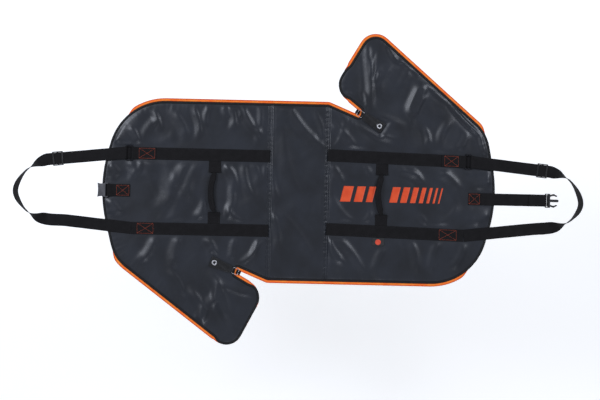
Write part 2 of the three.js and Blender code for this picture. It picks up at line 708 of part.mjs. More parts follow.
function buildHandle(group, half) {
  const s = half.ringSide;
  const tabSides = [HANDLE_X - WEB_WIDTH / 2, HANDLE_X + WEB_WIDTH / 2];
  const ringEdge = Math.min(...tabSides.map((x) => strapY(half.ringStrap, x))) - STRAP_EDGE;
  const plainEdge = Math.max(...tabSides.map((x) => strapY(half.plainStrap, x))) + STRAP_EDGE;
  const middle = (ringEdge + plainEdge) / 2;
  const acrossX = new THREE.Vector3(-1, 0, 0);
  for (const [place, edge, way] of [['ring_side', ringEdge, 1], ['plain_side', plainEdge, -1]]) {
    const inner = middle + way * (GRIP_LENGTH / 2 + TOUCH_GAP);
    const route = [
      [edge, STRAP_Z],
      [inner + way * TAB_RAMP, STRAP_Z],
      [inner + way * TAB_RAMP_MIDDLE * TAB_RAMP, (STRAP_Z + GRIP_AXIS_Z) / 2],
      [inner, GRIP_AXIS_Z - TAB_TUCK],
    ];
    const stations = route.map(([y, z]) => station(HANDLE_X, s * y, z, acrossX));
    addPiece(group, `${half.name}_handle_tab_${place}`, ribbon(stations), webbing());
  }
  const grip = new THREE.CylinderGeometry(1, 1, 1, 12, 16);
  const position = grip.attributes.position;
  for (let i = 0; i < position.count; i += 1) {
    const along = position.getY(i);
    const arch = Math.cos(Math.PI * along);
    const body = smooth(arch * GRIP_FULLNESS);
    const wide = THREE.MathUtils.lerp(GRIP_END_WIDTH, GRIP_WIDTH, body) / 2;
    const thick = THREE.MathUtils.lerp(GRIP_END_THICKNESS, GRIP_THICKNESS, body) / 2;
    const x = HANDLE_X + half.gripBow * arch + wide * position.getX(i);
    const z = GRIP_AXIS_Z + GRIP_RISE * arch + thick * position.getZ(i);
    position.setXYZ(i, x, s * middle + along * GRIP_LENGTH, z);
  }
  addPiece(group, `${half.name}_handle_grip`, grip, webbing());
}

// ---------------------------------------------------------------- buckle

// The frame that both buckle halves share at the bar: a slot for the webbing and a slim bar behind it.
function barCuts(thickness) {
  const inner = BUCKLE_SLOT_WIDTH / 2;
  const bar = BUCKLE_BAR / 2;
  return [
    block(bar, bar + BUCKLE_SLOT, -inner, inner, -thickness, thickness),
    block(-2 * bar, 2 * bar, -inner, inner, bar, thickness),
    block(-2 * bar, 2 * bar, -inner, inner, -thickness, -bar),
  ];
}

function femaleBuckle() {
  const wide = BUCKLE_WIDTH / 2;
  const pulledIn = wide - FEMALE_WAIST; // control point of the waist's curve
  const waistX = FEMALE_LENGTH * FEMALE_WAIST_AT;
  const back = -BUCKLE_BAR / 2;
  const outline = new THREE.Shape();
  outline.moveTo(back, -wide);
  outline.lineTo(FEMALE_SHOULDER, -wide);
  outline.quadraticCurveTo(waistX, -pulledIn, FEMALE_LENGTH, -wide);
  outline.quadraticCurveTo(FEMALE_LENGTH - FEMALE_MOUTH_CURVE, 0, FEMALE_LENGTH, wide);
  outline.quadraticCurveTo(waistX, pulledIn, FEMALE_SHOULDER, wide);
  outline.lineTo(back, wide);
  const half = FEMALE_THICKNESS / 2;
  const mouth = half - FEMALE_WALL;
  const depth = -back + BUCKLE_SLOT + 2 * FEMALE_WALL;
  const cavity = wide - FEMALE_WAIST / 2 - 2 * FEMALE_WALL;
  const sideStart = depth + 2 * FEMALE_WALL;
  const sideEnd = sideStart + FEMALE_SIDE_OPENING;
  const sideMouth = mouth - FEMALE_WALL / 2;
  const body = slab(outline.getPoints(6), -half, half);
  return cut(
    body,
    ...barCuts(FEMALE_THICKNESS),
    block(depth, 2 * FEMALE_LENGTH, -cavity, cavity, -mouth, mouth),
    block(sideStart, sideEnd, -2 * wide, 2 * wide, -sideMouth, sideMouth),
  );
}

function maleBuckle() {
  const wide = BUCKLE_WIDTH / 2;
  const half = MALE_THICKNESS / 2;
  const plate = slab(rectangle(-BUCKLE_BAR / 2, MALE_BLOCK, -wide, wide), -half, half);
  const prong = new THREE.Shape();
  const prongStart = MALE_BLOCK - PRONG_ROOT;
  const prongEnd = MALE_BLOCK + PRONG_LENGTH;
  prong.moveTo(prongStart, -PRONG_WIDTH / 2);
  prong.lineTo(prongEnd - PRONG_NOSE, -PRONG_WIDTH / 2);
  prong.quadraticCurveTo(prongEnd, -PRONG_WIDTH / 2, prongEnd, 0);
  prong.quadraticCurveTo(prongEnd, PRONG_WIDTH / 2, prongEnd - PRONG_NOSE, PRONG_WIDTH / 2);
  prong.lineTo(prongStart, PRONG_WIDTH / 2);
  const guide = slab(prong.getPoints(5), -ARM_THICKNESS / 2, ARM_THICKNESS / 2);
  return join(cut(plate, ...barCuts(MALE_THICKNESS)), guide);
}

// One sprung arm, drawn from its root outwards, with y counted inwards from the buckle's side.
function buckleArm(side) {
  const outline = new THREE.Shape();
  outline.moveTo(0, 10.4);
  outline.lineTo(0, 4.4);
  outline.quadraticCurveTo(6, 0.4, 13, 0.6);
  outline.lineTo(15, 3.4);
  outline.quadraticCurveTo(20, 4.4, 23, 7.4);
  outline.quadraticCurveTo(22, 10.4, 18, 9.9);
  outline.quadraticCurveTo(12, 5.9, 6, 7.9);
  const root = MALE_BLOCK + ARM_ROOT_GAP;
  const placed = outline.getPoints(5).map((p) => point(root + p.x, side * (BUCKLE_WIDTH / 2 - p.y)));
  return slab(side > 0 ? placed : placed.reverse(), -ARM_THICKNESS / 2, ARM_THICKNESS / 2);
}

function buildFemaleSide(group, half) {
  const y = half.closingY;
  const tab = [
    station(FEMALE_TAB_START, y, STRAP_Z),
    station(FEMALE_X - FEMALE_TAB_CLIMB, y, STRAP_Z),
    station(FEMALE_X - WRAP_LEAD, y, FEMALE_Z - BUCKLE_WRAP),
    ...wrap(FEMALE_X, y, FEMALE_Z, BUCKLE_WRAP, 1, true),
    station(FEMALE_X - WRAP_LEAD, y, FEMALE_Z + BUCKLE_WRAP),
    station(FEMALE_X - FEMALE_TAB_RETURN, y, TOP_LAYER_Z),
    station(FEMALE_TAB_START, y, TOP_LAYER_Z),
  ];
  addPiece(group, 'buckle_strap_tab', ribbon(tab), webbing());
  const female = addPiece(group, 'female_buckle', femaleBuckle(), greyPlastic());
  female.position.set(FEMALE_X, y, FEMALE_Z);
}

function buildMaleSide(group, half) {
  const y = half.closingY;
  const anchor = [station(ANCHOR_START, y, STRAP_Z), station(ANCHOR_END - FOLD_GAP / 2, y, STRAP_Z)];
  addPiece(group, 'closing_strap_anchor', ribbon(anchor), webbing());
  const strap = [
    station(ANCHOR_END + FOLD_GAP / 2, y, STRAP_Z),
    station(CLIMB_X, y, PIPING_CROSSING_Z),
    station(DROP_X, y, PIPING_CROSSING_Z),
    station(GROUND_X, y, LOOP_FLOOR),
    station(MALE_X - TAIL_LENGTH, y, LOOP_FLOOR),
    station(MALE_X - WRAP_LEAD, y, LOOP_FLOOR),
    ...wrap(MALE_X, y, MALE_Z, BUCKLE_WRAP, 1, true),
    station(MALE_X - WRAP_LEAD, y, MALE_Z + BUCKLE_WRAP),
    station(MALE_X - TAIL_FOLD, y, TAIL_Z + TOUCH_GAP),
    station(MALE_X - TAIL_LENGTH, y, TAIL_Z),
  ];
  addPiece(group, 'closing_strap', ribbon(strap), webbing());
  const buckle = new THREE.Group();
  buckle.position.set(MALE_X, y, MALE_Z);
  group.add(buckle);
  addPiece(buckle, 'male_buckle', maleBuckle(), blackPlastic());
  addPiece(buckle, 'male_buckle_arm_back', buckleArm(1), blackPlastic());
  addPiece(buckle, 'male_buckle_arm_front', buckleArm(-1), blackPlastic());
}

function buildLabel(group, half) {
  const top = strapY(half.plainStrap, LABEL_X + LABEL_WIDTH / 2) - WEB_WIDTH / 2 - LABEL_GAP;
  const outline = rectangle(LABEL_X - LABEL_WIDTH / 2, LABEL_X + LABEL_WIDTH / 2, top - LABEL_HEIGHT, top);
  const bottom = SHELL_TOP + TOUCH_GAP;
  addPiece(group, 'label_tab', slab(outline, bottom, bottom + LABEL_THICKNESS), wovenLabel());
}

// ---------------------------------------------------------------- zip sliders and pulls

// Slider in its own frame: x points out of the notch, the tapes lie between its two plates.
function zipSlider() {
  const tapeTop = ZIP_TAPE_LIFT + ZIP_TAPE_THICKNESS;
  const plateTop = tapeTop + ZIP_GAP + SLIDER_TOP_PLATE;
  const plan = roundedRectangle(SLIDER_LENGTH, SLIDER_WIDTH, SLIDER_CORNER);
  const postHeight = plateTop - SLIDER_BOTTOM - SLIDER_SINK;
  const post = new THREE.CylinderGeometry(SLIDER_POST_RADIUS, SLIDER_POST_RADIUS, postHeight, 12);
  post.rotateX(Math.PI / 2);
  post.translate(SLIDER_POST_X, 0, (plateTop + SLIDER_BOTTOM) / 2);
  const reach = ARCH_LENGTH / 2;
  const crown = PULL_Z + PULL_WIRE / 2 + LINK_PLAY + ARCH_WALL;
  const archSide = [
    { x: 0, y: plateTop - SLIDER_SINK },
    { x: reach, y: plateTop - SLIDER_SINK },
    { x: reach, y: crown, radius: ARCH_CORNER },
    { x: -reach, y: crown, radius: ARCH_CORNER },
    { x: -reach, y: plateTop - SLIDER_SINK },
  ];
  const eyeRadius = PULL_WIRE / 2 + LINK_PLAY;
  const eye = new THREE.CylinderGeometry(eyeRadius, eyeRadius, 2 * ARCH_WIDTH, 12);
  eye.translate(0, 0, PULL_Z);
  const arch = cut(uprightSlab(roundedChain(archSide), ARCH_WIDTH), eye);
  return join(
    slab(plan, SLIDER_BOTTOM, ZIP_TAPE_LIFT - ZIP_GAP),
    slab(plan, tapeTop + ZIP_GAP, plateTop),
    post,
    arch,
  );
}

// The pull in its own frame: the link's inner bar lies at x = 0, the tab runs out along +x.
function pullLink() {
  const outline = roundedRectangle(LINK_LENGTH, LINK_WIDTH, LINK_CORNER);
  return wireLoop(outline, PULL_WIRE).translate(LINK_LENGTH / 2, 0, PULL_Z);
}

function pullTab() {
  const start = LINK_LENGTH;
  const end = LINK_LENGTH + PULL_TAB_LENGTH;
  const half = PULL_TAB_THICKNESS / 2;
  const upper = [
    { x: start, y: -PULL_TAB_NECK / 2 },
    { x: start + PULL_NECK_END, y: -PULL_TAB_NECK / 2, radius: PULL_NECK_CORNER },
    { x: start + PULL_FLARE_END, y: -PULL_TAB_START_WIDTH / 2, radius: PULL_NECK_CORNER },
    { x: end, y: -PULL_TAB_END_WIDTH / 2, radius: PULL_END_CORNER },
    { x: end, y: PULL_TAB_END_WIDTH / 2, radius: PULL_END_CORNER },
    { x: start + PULL_FLARE_END, y: PULL_TAB_START_WIDTH / 2, radius: PULL_NECK_CORNER },
    { x: start + PULL_NECK_END, y: PULL_TAB_NECK / 2, radius: PULL_NECK_CORNER },
    { x: start, y: PULL_TAB_NECK / 2 },
  ];
  const flat = slab(roundedChain(upper), PULL_Z - half, PULL_Z + half);
  const rolled = new THREE.CylinderGeometry(PULL_ROLL, PULL_ROLL, PULL_TAB_NECK, 16);
  rolled.translate(start, 0, PULL_Z);
  const bore = new THREE.CylinderGeometry(PULL_BORE, PULL_BORE, 2 * PULL_TAB_NECK, 16);
  bore.translate(start, 0, PULL_Z);
  const seat = EYELET_HOLE / 2 + EYELET_WALL + TOUCH_GAP;
  const punch = new THREE.CylinderGeometry(seat, seat, 2 * EYELET_FLANGE, 24).rotateX(Math.PI / 2);
  punch.translate(end - EYELET_FROM_END, 0, PULL_Z);
  return cut(join(flat, rolled), bore, punch);
}

function pullEyelet() {
  const bore = EYELET_HOLE / 2;
  const barrel = bore + EYELET_WALL;
  const flange = EYELET_FLANGE / 2;
  const seat = PULL_TAB_THICKNESS / 2 + TOUCH_GAP;
  const rim = seat + EYELET_RIM;
  const profile = [
    [bore, -rim], [flange, -rim], [flange, -seat], [barrel, -seat],
    [barrel, seat], [flange, seat], [flange, rim], [bore, rim], [bore, -rim],
  ];
  const eyelet = new THREE.LatheGeometry(profile.map(([x, y]) => point(x, y)), 24);
  eyelet.rotateX(Math.PI / 2);
  return eyelet.translate(LINK_LENGTH + PULL_TAB_LENGTH - EYELET_FROM_END, 0, PULL_Z);
}

function buildZipPull(group, half) {
  const { notchInner, notchOuter, heel, notchEnd } = patternCorners(half);
  const direction = (a, b) => point(b.x - a.x, b.y - a.y).normalize();
  const outwards = direction(notchOuter, heel).add(direction(notchInner, notchEnd)).normalize();
  const x = (notchInner.x + notchOuter.x) / 2 + outwards.x * SLIDER_FROM_NOTCH;
  const y = (notchInner.y + notchOuter.y) / 2 + outwards.y * SLIDER_FROM_NOTCH;
  const slider = addPiece(group, `${half.name}_zip_slider`, zipSlider(), paintedMetal());
  slider.position.set(x, y, 0);
  slider.rotation.z = outwards.angle();
  const pull = new THREE.Group();
  pull.position.set(x, y, 0);
  pull.rotation.z = outwards.angle() + Math.PI + THREE.MathUtils.degToRad(half.pullTurn);
  group.add(pull);
  addPiece(pull, `${half.name}_pull_link`, pullLink(), nickel());
  addPiece(pull, `${half.name}_pull_tab`, pullTab(), webbing());
  addPiece(pull, `${half.name}_pull_eyelet`, pullEyelet(), nickel());
}

// ---------------------------------------------------------------- assembly

buildBase();
for (const half of HALVES) {
  const turned = new THREE.Group();
  turned.rotation.z = half.turn;
  bag.add(turned);
  const group = new THREE.Group();
  group.position.x = SEAM_X;
  turned.add(group);
  buildPanels(group, half);
  buildEdges(group, half);
  buildSewnStraps(group, half);
  buildRing(group, half);
  buildLoopWebbing(group, half);
  buildAdjuster(group, half);
  buildHandle(group, half);
  buildZipPull(group, half);
  if (half.name === 'right') {
    buildMaleSide(group, half);
    buildLabel(group, half);
  } else {
    buildFemaleSide(group, half);
  }
}

export default bag;
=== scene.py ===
# %% [markdown]
# # A fold-flat carry bag, opened out
#
# The real object is a long zip-up bag cut as one flat pattern: a base panel, a side panel on each of
# its long edges and a triangular gusset on each side panel. A coil zip runs round the edge, webbing
# straps cross the panels and end in two carrying loops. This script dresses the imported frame: every
# soft piece is worked out with numpy as a surface over the flat pattern, and the moulded parts are
# bevelled copies of the frame's own solids. Lengths are written in millimetres and turned to metres
# where a mesh is made.

# %% Load the frame
import math

import bmesh
import bpy
import numpy as np
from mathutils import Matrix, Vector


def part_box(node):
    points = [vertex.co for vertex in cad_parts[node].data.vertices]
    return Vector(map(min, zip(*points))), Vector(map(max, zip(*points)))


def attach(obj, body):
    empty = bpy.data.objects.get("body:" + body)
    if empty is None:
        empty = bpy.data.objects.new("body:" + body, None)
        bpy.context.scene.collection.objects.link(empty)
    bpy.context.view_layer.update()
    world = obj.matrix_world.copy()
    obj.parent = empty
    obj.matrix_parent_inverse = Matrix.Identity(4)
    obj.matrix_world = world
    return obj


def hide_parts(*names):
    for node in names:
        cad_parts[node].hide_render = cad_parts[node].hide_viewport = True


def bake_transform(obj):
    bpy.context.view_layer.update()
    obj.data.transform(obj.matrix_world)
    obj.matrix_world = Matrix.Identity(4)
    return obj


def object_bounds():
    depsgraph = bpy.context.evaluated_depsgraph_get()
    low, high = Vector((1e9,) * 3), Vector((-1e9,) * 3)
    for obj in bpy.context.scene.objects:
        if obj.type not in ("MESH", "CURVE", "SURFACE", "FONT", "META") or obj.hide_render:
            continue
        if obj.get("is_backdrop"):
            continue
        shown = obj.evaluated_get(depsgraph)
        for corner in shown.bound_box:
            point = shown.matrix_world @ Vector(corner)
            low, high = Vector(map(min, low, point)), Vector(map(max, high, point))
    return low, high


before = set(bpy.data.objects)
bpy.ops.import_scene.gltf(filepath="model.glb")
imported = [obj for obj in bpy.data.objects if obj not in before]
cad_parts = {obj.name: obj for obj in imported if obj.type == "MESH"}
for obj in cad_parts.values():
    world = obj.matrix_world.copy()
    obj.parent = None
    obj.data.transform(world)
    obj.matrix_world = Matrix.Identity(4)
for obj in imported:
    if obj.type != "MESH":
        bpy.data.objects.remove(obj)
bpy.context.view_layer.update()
MM = 0.001

# %% [markdown]
# ## Camera and light
#
# Something this flat is best looked at from straight above through a long lens, so that the outline
# keeps its proportions. An orthographic camera would do too, but a long lens still behaves well when
# the view is moved. Coated fabric is judged by its highlights: large soft lights stand
# at the sides and catch the slopes of the wrinkles, while the flat cloth mirrors the dim zenith.
# Shadowless white ground is made in a studio by raising the object well above a lit white sweep. The
# sweep is far below here, which also leaves the side panels room to fold down.

# %% Camera and lights
IMAGE_WIDTH = 2.0  # metres of floor across the image
LENS = 100
SENSOR = 36
VIEW_CENTRE = (0.0072, -0.0252)
VIEW_ROLL = math.radians(1.3)
CLIP_END = 100.0  # metres
SKY_COLOUR, SKY_STRENGTH = "#eef1f5", 0.3
SOFTBOX_COLOUR = "#eef3ff"
SOFTBOXES = (  # name, place, target, side in metres, power in watts
    ("window", (-2.6, 1.4, 2.9), (0, 0, 0), 1.7, 84),
    ("reflector", (2.5, 1.7, 2.8), (0.1, 0, 0), 1.3, 54),
    ("low_fill", (0.3, -3.0, 2.6), (0, 0, 0), 1.6, 42),
)


def srgb(code):
    """A hex colour as linear red, green and blue, by the sRGB curve."""
    c = np.array([int(code[i : i + 2], 16) for i in (1, 3, 5)]) / 255
    linear = np.where(c <= 0.04045, c / 12.92, ((c + 0.055) / 1.055) ** 2.4)
    return (*linear.tolist(), 1.0)


def soft_light(name, place, target, size, power):
    """A square softbox at a place, turned to face a target."""
    lamp = bpy.data.lights.new(name, "AREA")
    lamp.energy, lamp.size, lamp.color = power, size, srgb(SOFTBOX_COLOUR)[:3]
    holder = bpy.data.objects.new(name, lamp)
    bpy.context.scene.collection.objects.link(holder)
    aim = Vector(target) - Vector(place)
    holder.location, holder.rotation_euler = place, aim.to_track_quat("-Z", "Y").to_euler()


camera = bpy.data.objects.new("camera", bpy.data.cameras.new("camera"))
bpy.context.scene.collection.objects.link(camera)
camera.data.lens, camera.data.sensor_width = LENS, SENSOR
camera.location = (*VIEW_CENTRE, IMAGE_WIDTH * LENS / SENSOR)
camera.rotation_euler = (0, 0, VIEW_ROLL)
camera.data.clip_end = CLIP_END
bpy.context.scene.camera = camera

world = bpy.data.worlds.new("studio")
world.use_nodes = True
world.node_tree.nodes["Background"].inputs["Color"].default_value = srgb(SKY_COLOUR)
world.node_tree.nodes["Background"].inputs["Strength"].default_value = SKY_STRENGTH
bpy.context.scene.world = world
bpy.context.scene.view_settings.view_transform = "Standard"
for softbox in SOFTBOXES:
    soft_light(*softbox)
print("camera", tuple(round(x, 3) for x in camera.location), "and", len(SOFTBOXES), "softboxes")

# %% [markdown]
# ## Meshes from arrays
#
# Every new piece is a list of surfaces. A surface holds its points, its faces and a flat coordinate
# for each corner of each face, so that weave and stitching follow the cloth when it bends. Two shapes
# do most of the work: a sheet, which is a grid of points, and a sweep, which carries a closed profile
# along a path. A sweep is turned outwards by the sign of the volume it encloses.

# %% Lines, grids and sweeps
def lengths(points, closed=False):
    """Distance along a line of points up to each one, with the whole length last if it is closed."""
    ring = np.vstack([points, points[:1]]) if closed else points
    return np.concatenate([[0], np.cumsum(np.linalg.norm(np.diff(ring, axis=0), axis=1))])


def unit(v):
    """Each vector divided by its length."""
    return v / np.maximum(np.linalg.norm(v, axis=-1, keepdims=True), 1e-12)


def cell_faces(rows, columns, n, m):
    """Quads of a grid whose points are numbered i * m + j, wrapping past n and m."""
    i, j = np.meshgrid(np.arange(rows), np.arange(columns), indexing="ij")
    i1, j1 = (i + 1) % n, (j + 1) % m
    return np.stack([i * m + j, i1 * m + j, i1 * m + j1, i * m + j1], -1).reshape(-1, 4)


def cell_corners(u, v):
    """The (u, v) of each quad's four corners, in the order that cell_faces gives them."""
    a, b = np.meshgrid(u[:-1], v[:-1], indexing="ij")
    c, d = np.meshgrid(u[1:], v[1:], indexing="ij")
    return np.stack([np.stack(p, -1) for p in ((a, b), (c, b), (c, d), (a, d))], 2).reshape(-1, 4, 2)


def sweep(path, side, up, profile, closed=False):
    """A closed profile carried along a path: point = path + side * profile x + up * profile y."""
    n, m = len(path), profile.shape[-2]
    shape = np.broadcast_to(profile, (n, m, 2))
    points = path[:, None] + side[:, None] * shape[..., :1] + up[:, None] * shape[..., 1:]
    faces = [cell_faces(n if closed else n - 1, m, n, m)]
    corners = [cell_corners(lengths(path, closed), lengths(shape[n // 2], True))]
    if not closed:
        for row, turn in ((0, -1), (n - 1, 1)):
            faces.append((row * m + np.arange(m))[::turn][None])
            corners.append(shape[row][::turn][None])
    flat = points.reshape(-1, 3)
    a, b, c, d = (flat[faces[0][:, k]] for k in range(4))
    inside_out = (np.cross(b - a, c - a) * a).sum() + (np.cross(c - a, d - a) * a).sum() < 0
    if inside_out:
        faces = [f[:, ::-1] for f in faces]
        corners = [c[:, ::-1] for c in corners]
    return flat, faces, corners


test_path = np.array([[0.0, 0, 0], [0, 0, 10]])
test_square = np.array([[1.0, 1], [-1, 1], [-1, -1], [1, -1]])
test_bar = sweep(test_path, np.tile([[1.0, 0, 0]], (2, 1)), np.tile([[0, 1.0, 0]], (2, 1)), test_square)
print("a swept square bar has", len(test_bar[0]), "points and", sum(len(f) for f in test_bar[1]), "faces")


# %% Repeated surfaces, and objects from surfaces
def copies(surface, places, x_axes, y_axes, z_axes):
    """One small surface repeated: each copy's axes replace x, y and z, and its place is added."""
    points, faces, corners = surface
    moved = (
        places[:, None]
        + points[None, :, :1] * x_axes[:, None]
        + points[None, :, 1:2] * y_axes[:, None]
        + points[None, :, 2:] * z_axes[:, None]
    )
    shift = np.arange(len(places))[:, None, None] * len(points)
    many = [(f[None] + shift).reshape(-1, f.shape[1]) for f in faces]
    uv = [np.tile(c, (len(places), 1, 1)) for c in corners]
    return moved.reshape(-1, 3), many, uv


def piece(name, surfaces, finishes, body=None, stands_for=()):
    """Makes one object from surfaces in millimetres, given as a list of (surface, finish number)."""
    points, faces, corners, numbers, start = [], [], [], [], 0
    for (p, fs, cs), number in surfaces:
        for f, c in zip(fs, cs):
            faces += (f + start).tolist()
            corners.append(c.reshape(-1, 2))
            numbers += [number] * len(f)
        points.append(p)
        start += len(p)
    mesh = bpy.data.meshes.new(name)
    mesh.from_pydata((np.vstack(points) * MM).tolist(), [], faces)
    mesh.uv_layers.new(name="cloth").data.foreach_set("uv", (np.vstack(corners) * MM).ravel())
    mesh.polygons.foreach_set("material_index", numbers)
    mesh.polygons.foreach_set("use_smooth", [True] * len(faces))
    for finish in finishes:
        mesh.materials.append(finish)
    made = bpy.data.objects.new(name, mesh)
    bpy.context.scene.collection.objects.link(made)
    if body:
        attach(made, body)
    if stands_for:
        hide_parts(*stands_for)
    print(f"{name}: {len(faces)} faces")
    return made


print("surfaces become objects at 1 unit =", MM, "m")

# %% [markdown]
# ## Finishes
#
# Each finish starts from the real material. A coated fabric has a woven base under a skin of vinyl, so
# it is dark and even, with a broad sheen and a fine crinkle. Webbing and tape are matte and ribbed.
# Patterns read the flat coordinates that each piece carries in its "cloth" map, in metres, so a
# pattern's scale is one over its real size.

# %% Node helpers
RAMP_ENDS = (0.35, 0.65)  # the part of a noise pattern's range that a ramp spreads its colours over
WAVE_TURN = 20.0  # a wave texture turns this many radians per unit at scale 1


def add(tree, kind, inputs=(), **settings):
    """Adds a node, sets its properties, and gives each named input a value or a link."""
    made = tree.nodes.new(kind)
    for key, value in settings.items():
        setattr(made, key, value)
    for key, value in dict(inputs).items():
        if isinstance(value, bpy.types.NodeSocket):
            tree.links.new(value, made.inputs[key])
        else:
            made.inputs[key].default_value = value
    return made


def new_finish(name, colour, roughness, **sockets):
    """A material with its even values set on the shader, and its tree and shader for what varies."""
    made = bpy.data.materials.new(name)
    made.use_nodes = True
    tree = made.node_tree
    shader = tree.nodes["Principled BSDF"]
    values = {"Base Color": srgb(colour), "Roughness": roughness}
    for key, value in {**values, **sockets}.items():
        shader.inputs[key].default_value = value
    return made, tree, shader


def vary(tree, shader, vector, size_mm, dark, light, rough):
    """Colour and roughness that wander between two values each, over patches of a size."""
    cloud = add(tree, "ShaderNodeTexNoise", {"Vector": vector, "Scale": 1000 / size_mm, "Detail": 3.0})
    ramp = add(tree, "ShaderNodeValToRGB", {"Fac": cloud.outputs["Fac"]})
    for element, place, colour in zip(ramp.color_ramp.elements, RAMP_ENDS, (dark, light)):
        element.position, element.color = place, srgb(colour)
    tree.links.new(ramp.outputs["Color"], shader.inputs["Base Color"])
    spread = {"Value": cloud.outputs["Fac"], "To Min": rough[0], "To Max": rough[1]}
    level = add(tree, "ShaderNodeMapRange", spread)
    tree.links.new(level.outputs["Result"], shader.inputs["Roughness"])


def relief(tree, shader, layers):
    """Bumps, each a (height socket, strength, depth in millimetres), one on top of the other."""
    normal = None
    for height, strength, depth in layers:
        inputs = {"Height": height, "Strength": strength, "Distance": depth * MM}
        if normal:
            inputs["Normal"] = normal
        normal = add(tree, "ShaderNodeBump", inputs).outputs["Normal"]
    tree.links.new(normal, shader.inputs["Normal"])


def cloth_map(tree):
    """The piece's own flat coordinates, as a vector in metres."""
    return add(tree, "ShaderNodeUVMap", uv_map="cloth").outputs["UV"]


def weave(tree, vector, along_mm, across_mm):
    """A plain weave's height: one wave along the cloth times one across it."""
    waves = []
    for direction, pitch in (("X", along_mm), ("Y", across_mm)):
        scale = 1000 / pitch / WAVE_TURN * 2 * math.pi
        inputs = {"Vector": vector, "Scale": scale}
        wave = add(tree, "ShaderNodeTexWave", inputs, bands_direction=direction, wave_profile="SIN")
        waves.append(wave.outputs["Fac"])
    return add(tree, "ShaderNodeMath", {0: waves[0], 1: waves[1]}, operation="MULTIPLY").outputs[0]


print("node helpers ready; colour ramps run from", RAMP_ENDS[0], "to", RAMP_ENDS[1])

# %% The coated fabric
CRINKLE = 14.0  # millimetres across one crinkle of the vinyl skin


def crinkled(tree, vector):
    """The height of the fine crinkle that pressed vinyl and the ink on it share."""
    noise = add(tree, "ShaderNodeTexNoise", {"Vector": vector, "Scale": 1000 / CRINKLE, "Detail": 4.0})
    return noise.outputs["Fac"]


def coated_fabric():
    """Calendered PVC-coated polyester: dark, semi-gloss, the base cloth's grain showing through."""
    sockets = {"Coat Weight": 0.1, "Coat Roughness": 0.25}
    made, tree, shader = new_finish("coated_polyester_calendered", "#1c1f29", 0.4, **sockets)
    vector = cloth_map(tree)
    vary(tree, shader, vector, 90, "#191c23", "#20242d", (0.34, 0.43))
    relief(tree, shader, [(crinkled(tree, vector), 0.35, 0.9), (weave(tree, vector, 1.6, 1.6), 0.12, 0.08)])
    return made


COATED = coated_fabric()
print("finish", COATED.name)

# %% [markdown]
# ## The flat pattern
#
# The frame holds the pattern already: the top faces of its shell solids have the outline of each
# panel. Reading the outline from there keeps the cloth, the piping and the zip on the frame. The
# edges of the top faces that belong to one face only are the outline, and following them gives a loop.

# %% Read the outline of each half from the frame
SEAM_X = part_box("base_shell")[1].x / MM + 0.25  # half way between the base panel and a side panel
FOLD_Y = (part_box("right_side_shell")[1].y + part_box("right_gusset_shell")[0].y) / 2 / MM
SHELL_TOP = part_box("base_shell")[1].z / MM
PANEL_INSET = 7.3  # from the outside of the piping to the edge of a shell
HALVES = (("right", 1.0), ("left", -1.0))


def top_loop(node, turn):
    """The outline of a slab's top face, anticlockwise, turned into the right half's place."""
    mesh = bmesh.new()
    mesh.from_mesh(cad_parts[node].data)
    bmesh.ops.remove_doubles(mesh, verts=mesh.verts, dist=1e-5)
    top = {f for f in mesh.faces if f.normal.z > 0.9}
    following = {}
    for face in top:
        for corner in face.loops:
            if sum(f in top for f in corner.edge.link_faces) == 1:
                following[corner.vert] = corner.link_loop_next.vert
    first = here = next(iter(following))
    loop = []
    while not loop or here is not first:
        loop.append((here.co.x * turn / MM, here.co.y * turn / MM))
        here = following[here]
    mesh.free()
    return np.array(loop)


def open_loop(loop, axis, value, past=1.0):
    """The loop without its straight stretch on the line axis = value: it starts and ends there."""
    on_line = np.abs(loop[:, axis] - value) < past
    starts = np.flatnonzero(on_line & ~np.roll(on_line, -1))
    return np.roll(loop, -starts[0], axis=0)


def spaced(line, step):
    """The same line with points about one step apart."""
    at = lengths(line)
    there = np.linspace(0, at[-1], max(2, round(at[-1] / step) + 1))
    return np.stack([np.interp(there, at, line[:, k]) for k in range(line.shape[1])], 1)


def half_outline(name, turn):
    """From the base seam along the hem, round the free end and the gusset, back to the seam."""
    side = open_loop(top_loop(f"{name}_side_shell", turn), 0, SEAM_X)
    gusset = open_loop(top_loop(f"{name}_gusset_shell", turn), 1, FOLD_Y)
    on_fold = np.flatnonzero(np.abs(side[:, 1] - FOLD_Y) < 1)
    return spaced(np.vstack([side[: on_fold[0] + 1], gusset, side[on_fold[-1] :]]), OUTLINE_STEP)


def offset(line, distance):
    """A line moved sideways, to its right where the distance is positive."""
    along = unit(np.gradient(line, axis=0))
    return line + np.stack([along[:, 1], -along[:, 0]], 1) * np.reshape(distance, (-1, 1))


print("fold seams at x", round(SEAM_X, 2), "mm, gusset folds at y", round(FOLD_Y, 2), "mm")

# %% The outlines, with their rolled edges
OUTLINE_STEP = 3.0
ROLL_OUT, ROLL_RAMP = 6.5, 24.0  # how far a rolled edge moves out, and over what length it starts
ROLLED = {  # x, y and reach of each place where the edge has rolled out over its zip tape
    "right": ((148, 385, 46), (136, 345, 44)),
    "left": ((226, 505, 46), (190, 462, 52), (158, 402, 52), (128, 345, 46)),
}


def rolled_over(name, line):
    """One where an edge lies over its zip tape, easing to nothing at the rim of each place."""
    share = np.zeros(len(line))
    for x, y, reach in ROLLED[name]:
        gap = np.hypot(line[:, 0] - x, line[:, 1] - y)
        share = np.maximum(share, np.clip((reach - gap) / ROLL_RAMP, 0, 1))
    return share**2 * (3 - 2 * share)


OUTLINE = {}
for name, turn in HALVES:
    line = half_outline(name, turn)
    OUTLINE[name] = offset(line, ROLL_OUT * rolled_over(name, line))
for name, line in OUTLINE.items():
    print(name, "outline", len(line), "points,", round(lengths(line)[-1]), "mm long")

